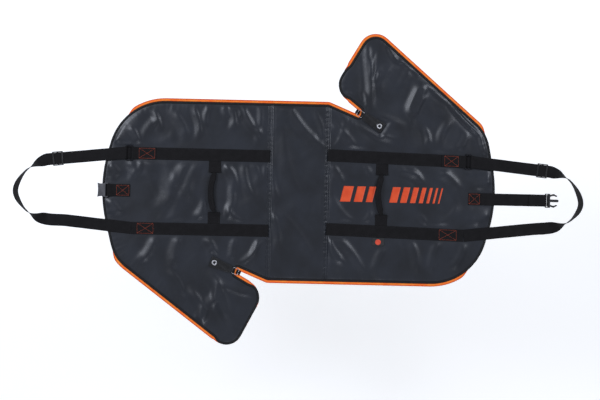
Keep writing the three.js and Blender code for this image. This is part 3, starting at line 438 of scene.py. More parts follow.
# %% [markdown]
# ## The lie of the cloth
#
# Sewn panels never lie flat: the stitching shortens the edge, so the cloth gathers in ripples that
# run in from it and die away, creases spread from where straps are sewn down, and soft swells remain
# from folding. One height map over the whole bag holds all of that, so that pieces which meet agree.
# It is built from three kinds of term: a rise from the edge, ripples that depend on the distance in
# from the edge and along it, and creases, each a bell-shaped ridge over a bent line.

# %% The grid of the height map
GRID = 4.0
SEAM_HALF = 6.0  # half the width of the strip of cloth that covers a fold seam
REACH_X, REACH_Y = 684.0, 560.0


def steps(start, end, step):
    """Evenly spaced values from start to end, about a step apart, without the end."""
    return np.linspace(start, end, max(1, round((end - start) / step)), endpoint=False)


right_of_base = np.concatenate([
    steps(0, SEAM_X - SEAM_HALF, GRID),
    steps(SEAM_X - SEAM_HALF, SEAM_X + SEAM_HALF, 1.0),
    steps(SEAM_X + SEAM_HALF, REACH_X, GRID),
    [REACH_X],
])
XS = np.concatenate([-right_of_base[:0:-1], right_of_base])
YS = np.linspace(-REACH_Y, REACH_Y, round(2 * REACH_Y / GRID) + 1)
GX, GY = np.meshgrid(XS, YS, indexing="ij")
BOUNDARY = spaced(np.vstack([OUTLINE["right"], -OUTLINE["left"], OUTLINE["right"][:1]]), OUTLINE_STEP)
NEAR = 260.0  # the outline's points further than this from a column of the grid are left out


def edge_field():
    """Each grid point's distance in from the outline, negative outside, and its place along it."""
    a, b = BOUNDARY[:-1], BOUNDARY[1:]
    along = lengths(BOUNDARY)[:-1]
    distance, place = np.empty(GX.shape), np.empty(GX.shape)
    for row, x in enumerate(XS):
        p = np.stack([np.full(len(YS), x), YS], 1)[:, None]
        near = np.abs(a[:, 0] - x) < NEAR
        s, e = a[near], b[near]
        d = e - s
        t = np.clip(((p - s) * d).sum(-1) / (d * d).sum(-1), 0, 1)
        far = np.linalg.norm(p - s - t[..., None] * d, axis=-1)
        best = far.argmin(1)
        crosses = (a[:, 1] > YS[:, None]) != (b[:, 1] > YS[:, None])
        slope = (b[:, 0] - a[:, 0]) / np.where(b[:, 1] == a[:, 1], 1, b[:, 1] - a[:, 1])
        inside = (crosses & (a[:, 0] + (YS[:, None] - a[:, 1]) * slope > x)).sum(1) % 2 == 1
        distance[row] = far.min(1) * np.where(inside, 1, -1)
        place[row] = along[near][best]
    return distance, place


INWARD, ALONG = edge_field()
print("height map", GX.shape, "deepest point", round(float(INWARD.max())), "mm in")

# %% What holds the cloth down
RING_X, HANDLE_X = 553.5, 278.5
WEB = 40.0
CLOSING_Y, BUCKLE_Y = -9.0, 6.0  # middles of the closing strap and the buckle's tab, each half's own
STRAPS = {  # y of each sewn strap at the seam and at the ring, in the right half's place
    "right": {"ring": (126.0, 114.0), "plain": (-120.0, -132.0), "side": 1.0},
    "left": {"ring": (-118.0, -119.0), "plain": (130.0, 131.0), "side": -1.0},
}
PULL_LINES = {"right": (193, 272, 278, 219), "left": (-193, -271, -286, -235)}
LABEL_LINE = (270, -150, 270, -170)
HOLD_REACH = 11.0  # cloth is free again this far from what holds it


def segment_distance(x, y, x0, y0, x1, y1):
    """Distance from (x, y) to a segment, signed by side, and the share of the way along it."""
    dx, dy = x1 - x0, y1 - y0
    long = math.hypot(dx, dy)
    share = ((x - x0) * dx + (y - y0) * dy) / long**2
    return ((y - y0) * dx - (x - x0) * dy) / long, share


def held_down():
    """One in free cloth, falling to nothing under each strap, tab and buckle that is sewn or lies on it."""
    free = np.ones(GX.shape)
    for name, turn in HALVES:
        x, y, s = GX * turn, GY * turn, STRAPS[name]
        bars = [(SEAM_X, s["ring"][0], 700, s["ring"][1] - 3), (SEAM_X, s["plain"][0], 700, s["plain"][1])]
        bars.append((HANDLE_X, s["ring"][0], HANDLE_X, s["plain"][0]))
        middle = CLOSING_Y if turn > 0 else BUCKLE_Y
        bars.append((556, middle, 700, middle))
        pull = np.array(PULL_LINES[name]) * turn  # from the slider to the end of its pull
        bars.append((pull[0] - 10, pull[1], *pull[2:]))
        if name == "right":
            bars.append(LABEL_LINE)
        for number, bar in enumerate(bars):
            away, share = segment_distance(x, y, *bar)
            past = np.clip(np.abs(share - 0.5) - 0.5, 0, None) * math.hypot(bar[2] - bar[0], bar[3] - bar[1])
            gap = np.hypot(np.clip(np.abs(away) - WEB / 2 - 1, 0, None), past)
            if number == 2:  # the middle of the grip stands clear of the cloth
                gap = np.maximum(gap, 40 - np.abs(np.abs(share - 0.5) - 0.5) * 240)
            free *= 1 - np.exp(-((gap / HOLD_REACH) ** 2))
    return free


FREE = held_down()
print(f"{(FREE > 0.5).mean():.0%} of the grid is free cloth")

# %% Creases
CREASES = (  # ends of each crease, its half width, height and bow, in the bag's own frame
    (-231, 286, -219, 205, 11, 2.4, 10), (-252, 284, -236, 245, 8, 1.8, -4),
    (-190, 282, -122, 186, 13, 2.6, -8), (-214, 284, -196, 238, 7, 2.2, 6),
    (-352, 272, -332, 176, 10, 2.2, 9), (-300, 280, -312, 214, 9, 1.6, -5),
    (-420, 262, -372, 170, 14, 1.7, 8), (-128, 284, -138, 160, 9, 1.6, 4),
    (-560, 205, -533, 152, 9, 2.2, 5), (-470, 235, -520, 160, 12, 1.8, -8),
    (-632, 82, -598, 40, 17, 2.0, 6), (-628, -26, -585, -84, 18, 2.2, -6),
    (-525, 95, -536, 50, 9, 1.6, 3), (-250, 92, -205, 5, 16, 2.4, 12),
    (-330, 96, -366, -30, 18, 2.2, -10), (-300, -40, -338, -98, 15, 2.0, 6),
    (-240, -50, -180, -104, 13, 1.8, -7), (-420, 60, -450, -70, 20, 1.6, 12),
    (-152, 98, -128, 20, 12, 1.4, 6), (-470, -160, -520, -245, 14, 2.0, 8),
    (-385, -150, -405, -262, 15, 1.9, -9), (-300, -148, -262, -262, 14, 2.3, 9),
    (-200, -146, -214, -236, 10, 1.8, -5), (-130, -150, -150, -252, 10, 1.7, 4),
    (-240, -330, -330, -480, 16, 2.2, -12), (-290, -262, -215, -455, 18, 1.8, 14),
    (-150, -345, -262, -300, 12, 1.7, 8), (-30, 276, 92, 146, 15, 2.4, -9), (52, 268, 84, 170, 9, 1.4, 8),
    (-258, -300, -232, -420, 13, 2.4, -9), (-352, -330, -300, -432, 16, 2.4, 10),
    (-420, -270, -372, -350, 12, 1.8, 7), (-108, -150, -188, -252, 10, 2.0, 5),
    (-92, 120, -64, -30, 16, 1.8, -12), (-90, -60, -62, -200, 13, 2.2, 12),
    (-640, 120, -606, 172, 9, 1.8, 3), (-486, 262, -462, 196, 10, 2.2, 5), (-560, 96, -546, 34, 12, 2.0, 6),
    (-366, 96, -402, 6, 15, 2.4, -8), (-216, 10, -236, -100, 12, 2.2, 8), (-180, 94, -150, -20, 12, 2.0, -9),
    (-70, -60, 60, -230, 20, 1.1, 12), (-58, 200, 20, -40, 24, 0.9, -14),
    (404, 376, 362, 266, 20, 2.6, 7), (222, 486, 238, 288, 13, 3.1, 5), (246, 470, 243, 392, 7, 1.9, -3),
    (294, 500, 322, 446, 7, 2.5, -4), (320, 450, 398, 404, 8, 2.7, 7), (484, 334, 606, 198, 7, 2.6, -6),
    (604, 204, 642, 116, 7, 2.5, -6), (428, 372, 372, 250, 15, 2.2, -9), (212, 340, 224, 280, 6, 1.6, 4),
    (506, 300, 604, 208, 7, 2.6, -5), (420, 388, 500, 312, 8, 2.2, -7), (330, 470, 392, 420, 8, 1.8, -5),
    (420, 330, 388, 262, 9, 2.2, -6), (262, 410, 250, 372, 7, 1.5, 3), (158, 340, 178, 296, 8, 1.6, 4),
    (300, 430, 262, 330, 16, 1.6, -8), (365, 440, 330, 352, 13, 1.4, 7),
    (204, 240, 318, 184, 11, 2.2, -8), (214, 262, 352, 232, 12, 1.5, 7),
    (418, 226, 432, 168, 9, 2.3, 5), (505, 250, 470, 160, 13, 1.9, -8),
    (560, 210, 530, 150, 12, 1.9, 7), (104, -150, 158, -232, 11, 2.7, -6),
    (138, -146, 226, -262, 13, 1.8, 8), (300, -170, 262, -268, 13, 1.9, -7),
    (380, -152, 402, -262, 14, 2.1, 9), (470, -156, 452, -262, 12, 1.9, -7),
    (560, -160, 520, -246, 13, 1.9, 8), (368, 92, 418, 38, 12, 2.2, 6),
    (330, 96, 400, 66, 12, 1.5, -6), (404, -62, 432, -112, 10, 1.5, 5),
    (236, 62, 216, 96, 10, 1.7, -3), (250, -60, 226, -100, 10, 1.6, 3),
    (470, 84, 540, 20, 16, 1.8, 8), (470, -96, 536, -30, 16, 1.7, -8),
    (640, 60, 586, 28, 15, 1.7, 6), (642, -60, 590, -96, 16, 1.9, -6),
    (110, 96, 150, 30, 12, 1.5, 5), (120, -20, 190, -98, 14, 1.4, -7),
    (105, 232, 190, 150, 14, 1.8, 9), (118, 150, 150, 238, 11, 1.3, -6),
)


def crease(x, y, x0, y0, x1, y1, width, height, bow):
    """Height of one crease: a steep-sided bell across its bowed line, fading towards both ends."""
    away, share = segment_distance(x, y, x0, y0, x1, y1)
    inside = np.clip(share, 0, 1)
    away = away - bow * np.sin(math.pi * inside)
    slope = np.where(away > 0, 0.75 * width, 1.5 * width)  # one side of a fold is always the steeper
    bell = np.exp(-((away / slope) ** 2)) - 0.3 * np.exp(-(((away + 2 * width) / width) ** 2))
    reach = np.clip(1.55 - np.abs(share - 0.48) * 2.4, 0, 1)
    return height * bell * reach**2 * (3 - 2 * reach)


print(len(CREASES), "creases with their own place")

# %% The height map
RISE, RISE_REACH = 2.4, 5.5  # how much lower the edge is sewn down, and over what distance
RIPPLE, RIPPLE_WAVES, RIPPLE_REACH = 0.5, (13, 19, 27, 41), 16
SWELLS, SMALL_CREASES = 34, 150
PUCKER_WAVES, PUCKER_REACH = (7.5, 11, 17), 5
PUCKER_RIGHT, PUCKER_LEFT = 0.85, 0.3  # the right fold seam is gathered more than the left one
LOWEST, HIGHEST = 1.6, SHELL_TOP + 8


def lie_of_the_cloth():
    """Height of the outer face: level cloth, its rolled edge, ripples, creases and seam puckers."""
    random = np.random.default_rng(7)
    rise = SHELL_TOP - RISE * np.exp(-np.clip(INWARD + 3.5, 0, None) / RISE_REACH)
    ripple = np.zeros(GX.shape)
    for wave in RIPPLE_WAVES:
        phase = random.uniform(0, 2 * math.pi)
        gate = 0.5 + 0.5 * np.sin(2 * math.pi * ALONG / (wave * 5.3) + random.uniform(0, 6))
        ripple += np.sin(2 * math.pi * ALONG / wave + phase) * gate
    fade = np.clip(INWARD / 5, 0, 1) * np.exp(-np.clip(INWARD, 0, None) / RIPPLE_REACH)
    height = RIPPLE * ripple * fade
    for x0, y0, x1, y1, width, tall, bow in CREASES:
        height += crease(GX, GY, x0, y0, x1, y1, width, (0.8 + width / 10) * tall, bow)
    for _ in range(SWELLS):  # broad swells left by folding
        x0, y0 = random.uniform(-620, 620), random.uniform(-280, 280)
        turn, long = random.normal(math.pi / 2, 0.7), random.uniform(120, 260)
        ends = (x0, y0, x0 + long * math.cos(turn), y0 + long * math.sin(turn))
        wide, tall, bow = random.uniform(24, 42), random.uniform(1.2, 2.8), random.normal(0, 14)
        height += crease(GX, GY, *ends, wide, tall, bow)
    for _ in range(SMALL_CREASES):
        x0, y0 = random.uniform(-640, 640), random.uniform(-300, 300)
        turn, long = random.normal(math.pi / 2, 0.6), random.uniform(50, 130)
        ends = (x0, y0, x0 + long * math.cos(turn), y0 + long * math.sin(turn))
        wide, tall, bow = random.uniform(7, 17), random.uniform(0.2, 0.9), random.normal(0, 5)
        height += crease(GX, GY, *ends, wide, tall, bow)
    height *= FREE * np.clip(INWARD / 12, 0, 1) * np.clip((np.abs(np.abs(GX) - SEAM_X) - 2) / 16, 0.15, 1)
    from_seam = np.abs(GX) - SEAM_X
    pucker = np.zeros(GX.shape)
    for wave in PUCKER_WAVES:
        lean = random.uniform(-0.5, 0.5)
        gate = 0.4 + 0.6 * np.sin(2 * math.pi * GY / (wave * 6.1) + np.sign(GX) * 1.3) ** 2
        pucker += np.sin(2 * math.pi * (GY + lean * from_seam) / wave + np.sign(GX)) * gate
    gathered = np.where(GX > 0, PUCKER_RIGHT, PUCKER_LEFT) * np.exp(-np.abs(from_seam + 3) / PUCKER_REACH)
    height += gathered * pucker * np.clip(INWARD / 10, 0, 1)
    groove = 1.9 * np.exp(-((from_seam / 1.6) ** 2)) - 0.7 * np.exp(-(((from_seam + 5) / 3) ** 2))
    return np.clip(rise + height - groove, LOWEST, HIGHEST)


HEIGHT = lie_of_the_cloth()
print("cloth from", round(float(HEIGHT.min()), 1), "to", round(float(HEIGHT.max()), 1), "mm high")


def cloth_height(x, y):
    """The height map between its grid points, by the weighted mean of the four around a place."""
    i = np.clip(np.searchsorted(XS, x) - 1, 0, len(XS) - 2)
    j = np.clip(np.searchsorted(YS, y) - 1, 0, len(YS) - 2)
    u = (x - XS[i]) / (XS[i + 1] - XS[i])
    v = (y - YS[j]) / (YS[j + 1] - YS[j])
    low = HEIGHT[i, j] * (1 - u) + HEIGHT[i + 1, j] * u
    high = HEIGHT[i, j + 1] * (1 - u) + HEIGHT[i + 1, j + 1] * u
    return low * (1 - v) + high * v


# %% [markdown]
# ## Panels
#
# A panel is the part of the height map between two lines. Its grid cells are kept where they touch
# the pattern, and the corners that fall outside are drawn in to the nearest point of the outline, so
# the edge is clean. The cloth goes a little way under the piping, as a sewn edge does. Solidify gives
# each sheet its thickness. The side panel and its gusset are one cloth, so they are one mesh across
# the fold; a narrow strip covers each seam between the base and the side.

# %% Cutting a panel from the height map
TUCK = 2.6  # how far the cloth runs under the piping
FOLD_SPREAD = 22.0  # half the span across the gusset fold that is handed to bend
EDGE_LINE = offset(BOUNDARY, TUCK)
BATCH = 400  # outside corners matched with the outline at a time


def panel(x0, x1, height):
    """The sheet between two x values: points, quads that face up, and their flat coordinates."""
    columns = np.flatnonzero((XS > x0 - 0.01) & (XS < x1 + 0.01))
    x, y = GX[columns].copy(), GY[columns].copy()
    inward = INWARD[columns] + TUCK
    inside = inward > 0
    cells = inside[:-1, :-1] | inside[1:, :-1] | inside[1:, 1:] | inside[:-1, 1:]
    used = np.zeros(inside.shape, bool)
    for a in (slice(None, -1), slice(1, None)):
        for b in (slice(None, -1), slice(1, None)):
            used[a, b] |= cells
    outside = used & ~inside
    edge = spaced(np.vstack([EDGE_LINE, EDGE_LINE[:1]]), 1.0)
    p = np.stack([x[outside], y[outside]], 1)
    nearest = np.empty(len(p), int)
    for start in range(0, len(p), BATCH):
        part = p[start : start + BATCH, None] - edge
        nearest[start : start + BATCH] = (part**2).sum(-1).argmin(1)
    border = (x[outside] <= x0 + 0.01) | (x[outside] >= x1 - 0.01)
    x[outside] = np.where(border, x[outside], edge[nearest, 0])
    y[outside] = edge[nearest, 1]
    quads = cell_faces(len(columns) - 1, len(YS) - 1, len(columns), len(YS))[cells.ravel()]
    numbers = np.cumsum(used.ravel()) - 1
    flat = np.stack([x, y], -1).reshape(-1, 2)
    z = height(flat[:, 0], flat[:, 1])
    points = np.column_stack([flat, z])[used.ravel()]
    return points, [numbers[quads]], [flat[quads]]


print("cloth edge", round(lengths(EDGE_LINE)[-1]), "mm round")

# %% Thickness of a cloth, and pieces across its folds and seams


def thicken(made, thickness):
    """Gives a sheet its thickness, below its outer face."""
    solid = made.modifiers.new("thickness", "SOLIDIFY")
    solid.thickness, solid.offset = thickness * MM, -1


def bend(made, a, b, start, end):
    """Bakes a piece's place into its mesh; the two bodies and the two points are not used."""
    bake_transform(made)


def fold_of(name, turn, made):
    """Hands a piece and the ends of a half's gusset fold to bend, which bakes the piece's place."""
    near, far = ((0, turn * (FOLD_Y + side * FOLD_SPREAD), 0) for side in (-1, 1))
    bend(made, f"{name}_side", f"{name}_gusset", near, far)


def seam_of(name, turn, made):
    """Hands a piece and the ends of a half's fold seam to bend, which bakes the piece's place."""
    near, far = ((turn * (SEAM_X + side * SEAM_HALF), 0, 0) for side in (-1, 1))
    bend(made, "base", f"{name}_side", near, far)


# %% Shells
EDGE = SEAM_X + SEAM_HALF
LIMITS = {"right": (EDGE, REACH_X), "left": (-REACH_X, -EDGE)}
SHELL_THICKNESS, LINING_THICKNESS = 1.0, 0.6

sheet = panel(-SEAM_X + SEAM_HALF, SEAM_X - SEAM_HALF, cloth_height)
base_shell = piece("base_shell_cloth", [(sheet, 0)], [COATED], "base", ["base_shell"])
thicken(base_shell, SHELL_THICKNESS)
for name, turn in HALVES:
    sheet = panel(*LIMITS[name], cloth_height)
    stands_for = [f"{name}_side_shell", f"{name}_gusset_shell"]
    shell = piece(f"{name}_shell_cloth", [(sheet, 0)], [COATED], None, stands_for)
    thicken(shell, SHELL_THICKNESS)
    fold_of(name, turn, shell)
    near = sorted((turn * (SEAM_X - SEAM_HALF), turn * (SEAM_X + SEAM_HALF)))
    sheet = panel(*near, cloth_height)
    strip = piece(f"{name}_seam_cloth", [(sheet, 0)], [COATED], None)
    thicken(strip, SHELL_THICKNESS)
    seam_of(name, turn, strip)

# %% [markdown]
# The lining hangs under the shell on the same pattern. It is a thinner, matte cloth with soft ripples
# of its own, so it is a second set of sheets from the same function, lower down.

# %% Lining
def lining_fabric():
    """Uncoated 210-denier polyester: nearly black, matte, with a visible plain weave."""
    made, tree, shader = new_finish("polyester_lining_woven", "#1f2025", 0.82, **{"Sheen Weight": 0.25})
    vector = cloth_map(tree)
    vary(tree, shader, vector, 60, "#1b1c20", "#25262c", (0.76, 0.88))
    relief(tree, shader, [(weave(tree, vector, 1.2, 1.2), 0.3, 0.12)])
    return made


LINING = lining_fabric()
LINING_LEVEL = 1.15 - 0.22  # its upper face, which the two waves raise to 1.15 at most


def lining_height(x, y):
    """Level, with two slow waves that cross each other."""
    return LINING_LEVEL + 0.12 * np.sin(x / 31 + y / 57) + 0.1 * np.sin(x / 77 - y / 23)


sheet = panel(-SEAM_X, SEAM_X, lining_height)
cloth = piece("base_lining_cloth", [(sheet, 0)], [LINING], "base", ["base_lining"])
thicken(cloth, LINING_THICKNESS)
for name, turn in HALVES:
    outer = sorted((turn * SEAM_X, turn * REACH_X))
    stands_for = [f"{name}_side_lining", f"{name}_gusset_lining"]
    sheet = panel(*outer, lining_height)
    cloth = piece(f"{name}_lining_cloth", [(sheet, 0)], [LINING], None, stands_for)
    thicken(cloth, LINING_THICKNESS)
    fold_of(name, turn, cloth)

# %% [markdown]
# ## Piping
#
# The panels' raw edges are bound with a narrow black tape that is folded over a cord and sewn through,
# so it is a soft tube that thins a little at each gather. A tube runs round the half's outline and the
# gusset, a short one crosses each end of a fold seam, and two straight ones edge the base.

# %% Piping round the edges
def binding():
    """Polyester grosgrain binding over a cord: black and matte, with ribs across its length."""
    dull = {"Specular IOR Level": 0.3}
    made, tree, shader = new_finish("polyester_binding_ribbed", "#0e0f11", 0.62, **dull)
    vector = cloth_map(tree)
    vary(tree, shader, vector, 35, "#0c0d0f", "#141518", (0.55, 0.7))
    relief(tree, shader, [(weave(tree, vector, 1.4, 40), 0.5, 0.25)])
    return made


BINDING = binding()
UP = np.array([[0.0, 0.0, 1.0]])
BOUND_WIDTH, BOUND_HEIGHT = 8.8, 6.0  # over the folded binding, which laps a little onto the cloth
PIPING_IN = PANEL_INSET - BOUND_WIDTH / 2  # from the shell's edge out to the piping's middle
GATHER_WAVES, GATHER_DEPTH = (9, 14, 31), 0.035  # lengths of the swells, and their share of the width


def oval(across, high, points=12, squareness=2.0):
    """A closed profile |x / a|^p + |y / b|^p = 1, where p is its squareness: 2 is an ellipse."""
    turn = np.linspace(0, 2 * math.pi, points, endpoint=False)
    c, s = np.cos(turn), np.sin(turn)
    power = 2 / squareness
    return np.stack([across / 2 * np.sign(c) * abs(c) ** power, high / 2 * np.sign(s) * abs(s) ** power], 1)


def piping_tube(line, seed):
    """An oval tube along a line on the ground, gathered: its width and height swell with the stitches."""
    at = lengths(line)
    random = np.random.default_rng(seed)
    gather = sum(np.sin(2 * math.pi * at / wave + random.uniform(0, 6)) for wave in GATHER_WAVES) / 3
    along = unit(np.gradient(line, axis=0))
    side = np.column_stack([along[:, 1], -along[:, 0], np.zeros(len(line))])
    swell = (1 - GATHER_DEPTH) + GATHER_DEPTH * gather
    shape = oval(BOUND_WIDTH, BOUND_HEIGHT, 14)[None] * swell[:, None, None]
    sway = side[:, :2] * 0.25 * gather[::-1, None]
    path = np.column_stack([line + sway, np.full(len(line), BOUND_HEIGHT / 2)])
    return sweep(path, side, np.broadcast_to(UP, side.shape), shape)


def cut_line(line, keep):
    """The stretch of a line whose points pass a test, from the first to the last that do."""
    kept = np.flatnonzero(keep(line))
    return line[kept[0] : kept[-1] + 1]


def across_seam(line, way, count, base_y):
    """An edge line over a fold seam: level on the base's side, then along the half's own line."""
    near = line[::way]
    x = np.linspace(SEAM_X - BRIDGE_BACK, SEAM_X + BRIDGE_ON, count)
    onward = np.interp(x, near[:NEAR_END, 0], near[:NEAR_END, 1])
    return np.column_stack([x, np.where(x < SEAM_X, np.sign(near[0, 1]) * base_y, onward)])


BRIDGE_BACK, BRIDGE_ON = SEAM_HALF + 1, SEAM_HALF + 3  # reach of a piece that crosses a seam, on either side
NEAR_END = 14  # points of the half's line that can lie in that reach
EDGE_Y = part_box("base_piping_back")[1].y / MM - BOUND_WIDTH / 2  # middle of the base's piping
ENDS = (("hem", 1), ("notch", -1))  # the two ends of a half's outline, and the way to read it from each
print("piping's middle", round(PIPING_IN, 2), "mm from the shell's edge; base's at y", round(EDGE_Y, 1))

# %% Piping round the halves and along the base
for name, turn in HALVES:
    line = spaced(offset(OUTLINE[name], PIPING_IN), 3.0)
    round_half = piping_tube(cut_line(line, lambda p: p[:, 0] > SEAM_X + SEAM_HALF) * turn, 3)
    stands_for = [f"{name}_end_piping", f"{name}_notch_piping", f"{name}_gusset_piping"]
    tube = piece(f"{name}_piping", [(round_half, 0)], [BINDING], None, stands_for)
    fold_of(name, turn, tube)
    for end, way in ENDS:
        bit = piping_tube(spaced(across_seam(line, way, 12, EDGE_Y) * turn, 2.0), 5)
        bridge = piece(f"{name}_{end}_piping_bend", [(bit, 0)], [BINDING], None)
        seam_of(name, turn, bridge)
straight = np.column_stack([np.linspace(SEAM_HALF - SEAM_X, SEAM_X - SEAM_HALF, 60), np.full(60, EDGE_Y)])
piece(
    "base_piping", [(piping_tube(straight, 8), 0), (piping_tube(-straight, 9), 0)], [BINDING],
    "base", ["base_piping_front", "base_piping_back"])

# %% [markdown]
# ## The opened zip
#
# A coil zip is a woven tape with a spiral of nylon sewn along its free edge. Opened out, each half of
# it runs round the edge as a flat orange ribbon with a row of small loops on its outer side. The tape
# is a sweep of a flat profile beside the piping. The coil is a row of copies of one bent tooth.

# %% Zip tape
def zip_ribbon():
    """Polyester zip tape, dyed orange: matte, with a herringbone of fine threads."""
    made, tree, shader = new_finish("polyester_zip_tape_woven", "#ff7a1a", 0.72)
    vector = cloth_map(tree)
    vary(tree, shader, vector, 30, "#fb6c10", "#ff8c2c", (0.66, 0.8))
    relief(tree, shader, [(weave(tree, vector, 1.1, 1.5), 0.5, 0.2)])
    return made


def zip_coil():
    """Nylon monofilament, spiralled and dyed with the tape: smooth and slightly glossy, but set darker and
    redder than the tape as painted shade of the coil's shadow side.
    """
    made, tree, shader = new_finish("nylon_coil_painted_shade", "#e8540f", 0.4, **{"IOR": 1.53})
    vary(tree, shader, cloth_map(tree), 12, "#dc480a", "#f26418", (0.34, 0.46))
    return made


TAPE, COIL = zip_ribbon(), zip_coil()
TAPE_START, TAPE_WIDTH, TAPE_Z = 5.8, 10.5, 2.5  # from the shell's edge; height of its middle
TOOTH_PITCH = 2.4
NARROWEST = 1.5  # of the tape, in a tight hollow of the outline
TAPE_WAVES, TAPE_RIPPLE = (17, 29, 47), 0.35
TAPE_PROFILE = np.array([  # across the tape, as shares of its width, and up from its middle
    [0, 0.5], [0.3, 0.5], [0.72, 0.5], [1, 0.35], [1, -0.35], [0.72, -0.5], [0.3, -0.5], [0, -0.5]])


def tooth():
    """One loop of the coil: a six-sided bead, longer across the tape than along it."""
    path = np.array([[0, 0.0, -0.35], [0.15, 1.2, 0.55], [0.3, 2.3, 0.5], [0.45, 3.0, -0.3]])
    return sweep(path, np.tile([[1.0, 0, 0]], (4, 1)), np.tile([[0, 0, 1.0]], (4, 1)), oval(1.35, 1.1, 6))


def zip_half(line, seed, width=None):
    """Tape and coil beside a line of the shell's edge: (tape surface, coil surface)."""
    at = lengths(line)
    along = unit(np.gradient(line, axis=0))
    outward = np.column_stack([along[:, 1], -along[:, 0], np.zeros(len(line))])
    bend_in = np.gradient(np.unwrap(np.arctan2(along[:, 1], along[:, 0])), at)
    hollow = np.where(bend_in < -1e-4, -1 / np.minimum(bend_in, -1e-4), 1e4)  # radius where it turns inwards
    wide = np.clip(hollow - TAPE_START - 0.8, NARROWEST, TAPE_WIDTH)
    if width is not None:
        wide = np.minimum(wide, width)
    wide = np.convolve(np.pad(wide, 3, mode="edge"), np.ones(7) / 7, "valid")
    random = np.random.default_rng(seed)
    ripple = sum(np.sin(2 * math.pi * at / wave + random.uniform(0, 6)) for wave in TAPE_WAVES) / 3
    across, up = TAPE_PROFILE.T
    shape = np.stack([across * wide[:, None], np.tile(up, (len(line), 1))], -1)
    shape[..., 1] += TAPE_RIPPLE * ripple[:, None] * across
    path = np.column_stack([line + outward[:, :2] * TAPE_START, np.full(len(line), TAPE_Z - 0.35)])
    tape = sweep(path, outward, np.broadcast_to(UP, outward.shape), shape)
    there = np.arange(1.5, at[-1] - 1, TOOTH_PITCH)
    pick = lambda values: np.stack([np.interp(there, at, v) for v in values.T], 1)
    out = unit(pick(outward))
    reach = pick((TAPE_START + wide - 3.1)[:, None])
    lift = pick((TAPE_Z + 0.55 + TAPE_RIPPLE * ripple)[:, None])
    places = np.column_stack([pick(line) + out[:, :2] * reach, lift])
    along3 = np.column_stack([-out[:, 1], out[:, 0], np.zeros(len(out))])
    teeth = copies(tooth(), places, along3, out, np.tile(UP, (len(out), 1)))
    return tape, teeth


print("a tooth every", TOOTH_PITCH, "mm on a tape", TAPE_WIDTH, "mm wide")

# %% Zip round the halves and along the base
TAPE_FADE = 30.0  # the length over which a tape narrows to nothing at its open end
HEM_TAPE_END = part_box("right_hem_zip_tape")[1].x / MM - 15
HEM_BELOW = -200.0  # the hem's side of a half lies below this y, and its shoulder beyond the next x
SHOULDER_START, SHOULDER_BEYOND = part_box("right_shoulder_zip_tape")[0].y / MM, 400.0
HIDDEN = 0.9  # share of the tape that a rolled edge covers
for name, turn in HALVES:
    line = spaced(OUTLINE[name], 2.5)
    x, y = line.T
    hem_part = (x > SEAM_X + SEAM_HALF) & (x < HEM_TAPE_END) & (y < HEM_BELOW)
    hem = cut_line(line, lambda p: hem_part)
    corner = np.flatnonzero((y > SHOULDER_START) & (x > SHOULDER_BEYOND))[0]
    last = np.flatnonzero(x > SEAM_X + SEAM_HALF)[-1]
    upper = line[corner : last + 1]
    fade_out = np.minimum(1, (lengths(hem)[-1] - lengths(hem)) / TAPE_FADE) * TAPE_WIDTH
    fade_in = np.minimum(1, lengths(upper) / TAPE_FADE) * TAPE_WIDTH
    fade_in = fade_in * (1 - HIDDEN * rolled_over(name, upper))
    hem_tape, hem_coil = zip_half(hem * turn, 11, fade_out)
    piece(
        f"{name}_hem_zip", [(hem_tape, 0), (hem_coil, 1)], [TAPE, COIL],
        f"{name}_side", [f"{name}_hem_zip_tape"])
    upper_tape, upper_coil = zip_half(upper * turn, 12, fade_in)
    stands_for = [f"{name}_shoulder_zip_tape", f"{name}_gusset_zip_tape", f"{name}_notch_zip_tape"]
    both = [(upper_tape, 0), (upper_coil, 1)]
    zip_b = piece(f"{name}_upper_zip", both, [TAPE, COIL], None, stands_for)
    fold_of(name, turn, zip_b)
    for end, way in ENDS:
        tape, teeth = zip_half(across_seam(line, way, 9, EDGE_Y - PIPING_IN)[::way] * turn, 13)
        bridge = piece(f"{name}_{end}_zip_bend", [(tape, 0), (teeth, 1)], [TAPE, COIL], None)
        seam_of(name, turn, bridge)
base_x = np.linspace(SEAM_HALF - SEAM_X, SEAM_X - SEAM_HALF, 76)
edge = np.column_stack([base_x, np.full(76, PIPING_IN - EDGE_Y)])
zips = []
for side in (1, -1):
    tape, teeth = zip_half(edge * side, 14 + side)
    zips += [(tape, 0), (teeth, 1)]
piece("base_zips", zips, [TAPE, COIL], "base", ["base_zip_tape_front", "base_zip_tape_back"])

# %% [markdown]
# ## Webbing
#
# Polypropylene webbing is a flat ribbon with thick woven edges and ribs across it. It hardly
# stretches, so it lies straight, folds over bars at one radius and turns on edge to go round a bend.
# A strap here is a line of stations, each with a place and the direction across the ribbon. Lines are
# smoothed except where the webbing is held round a bar, then a flat rounded profile is swept along.

# %% Webbing and thread finishes
def webbing():
    """Spun polypropylene webbing: near black, matte, ribs 2.4 mm apart and a bound edge."""
    dull = {"Specular IOR Level": 0.2}
    made, tree, shader = new_finish("polypropylene_webbing_woven", "#111012", 0.8, **dull)
    vector = cloth_map(tree)
    vary(tree, shader, vector, 22, "#0f0e10", "#161517", (0.72, 0.88))
    relief(tree, shader, [(weave(tree, vector, 2.4, 3.2), 0.8, 0.45)])
    return made


def thread():
    """Bonded polyester thread in rust orange: a dull shine along each stitch."""
    made, tree, shader = new_finish("polyester_thread_bonded", "#b4492a", 0.55)
    vary(tree, shader, cloth_map(tree), 6, "#a03f24", "#c45533", (0.48, 0.62))
    return made


def dark_thread():
    """The same thread in charcoal, for the seams that are not meant to be seen."""
    dull = {"Specular IOR Level": 0.3}
    made, tree, shader = new_finish("polyester_thread_charcoal", "#1d1d20", 0.55, **dull)
    vary(tree, shader, cloth_map(tree), 6, "#19191c", "#232327", (0.48, 0.62))
    return made


WEBBING, THREAD, DARK_THREAD = webbing(), thread(), dark_thread()
print("finishes:", WEBBING.name, THREAD.name, DARK_THREAD.name)

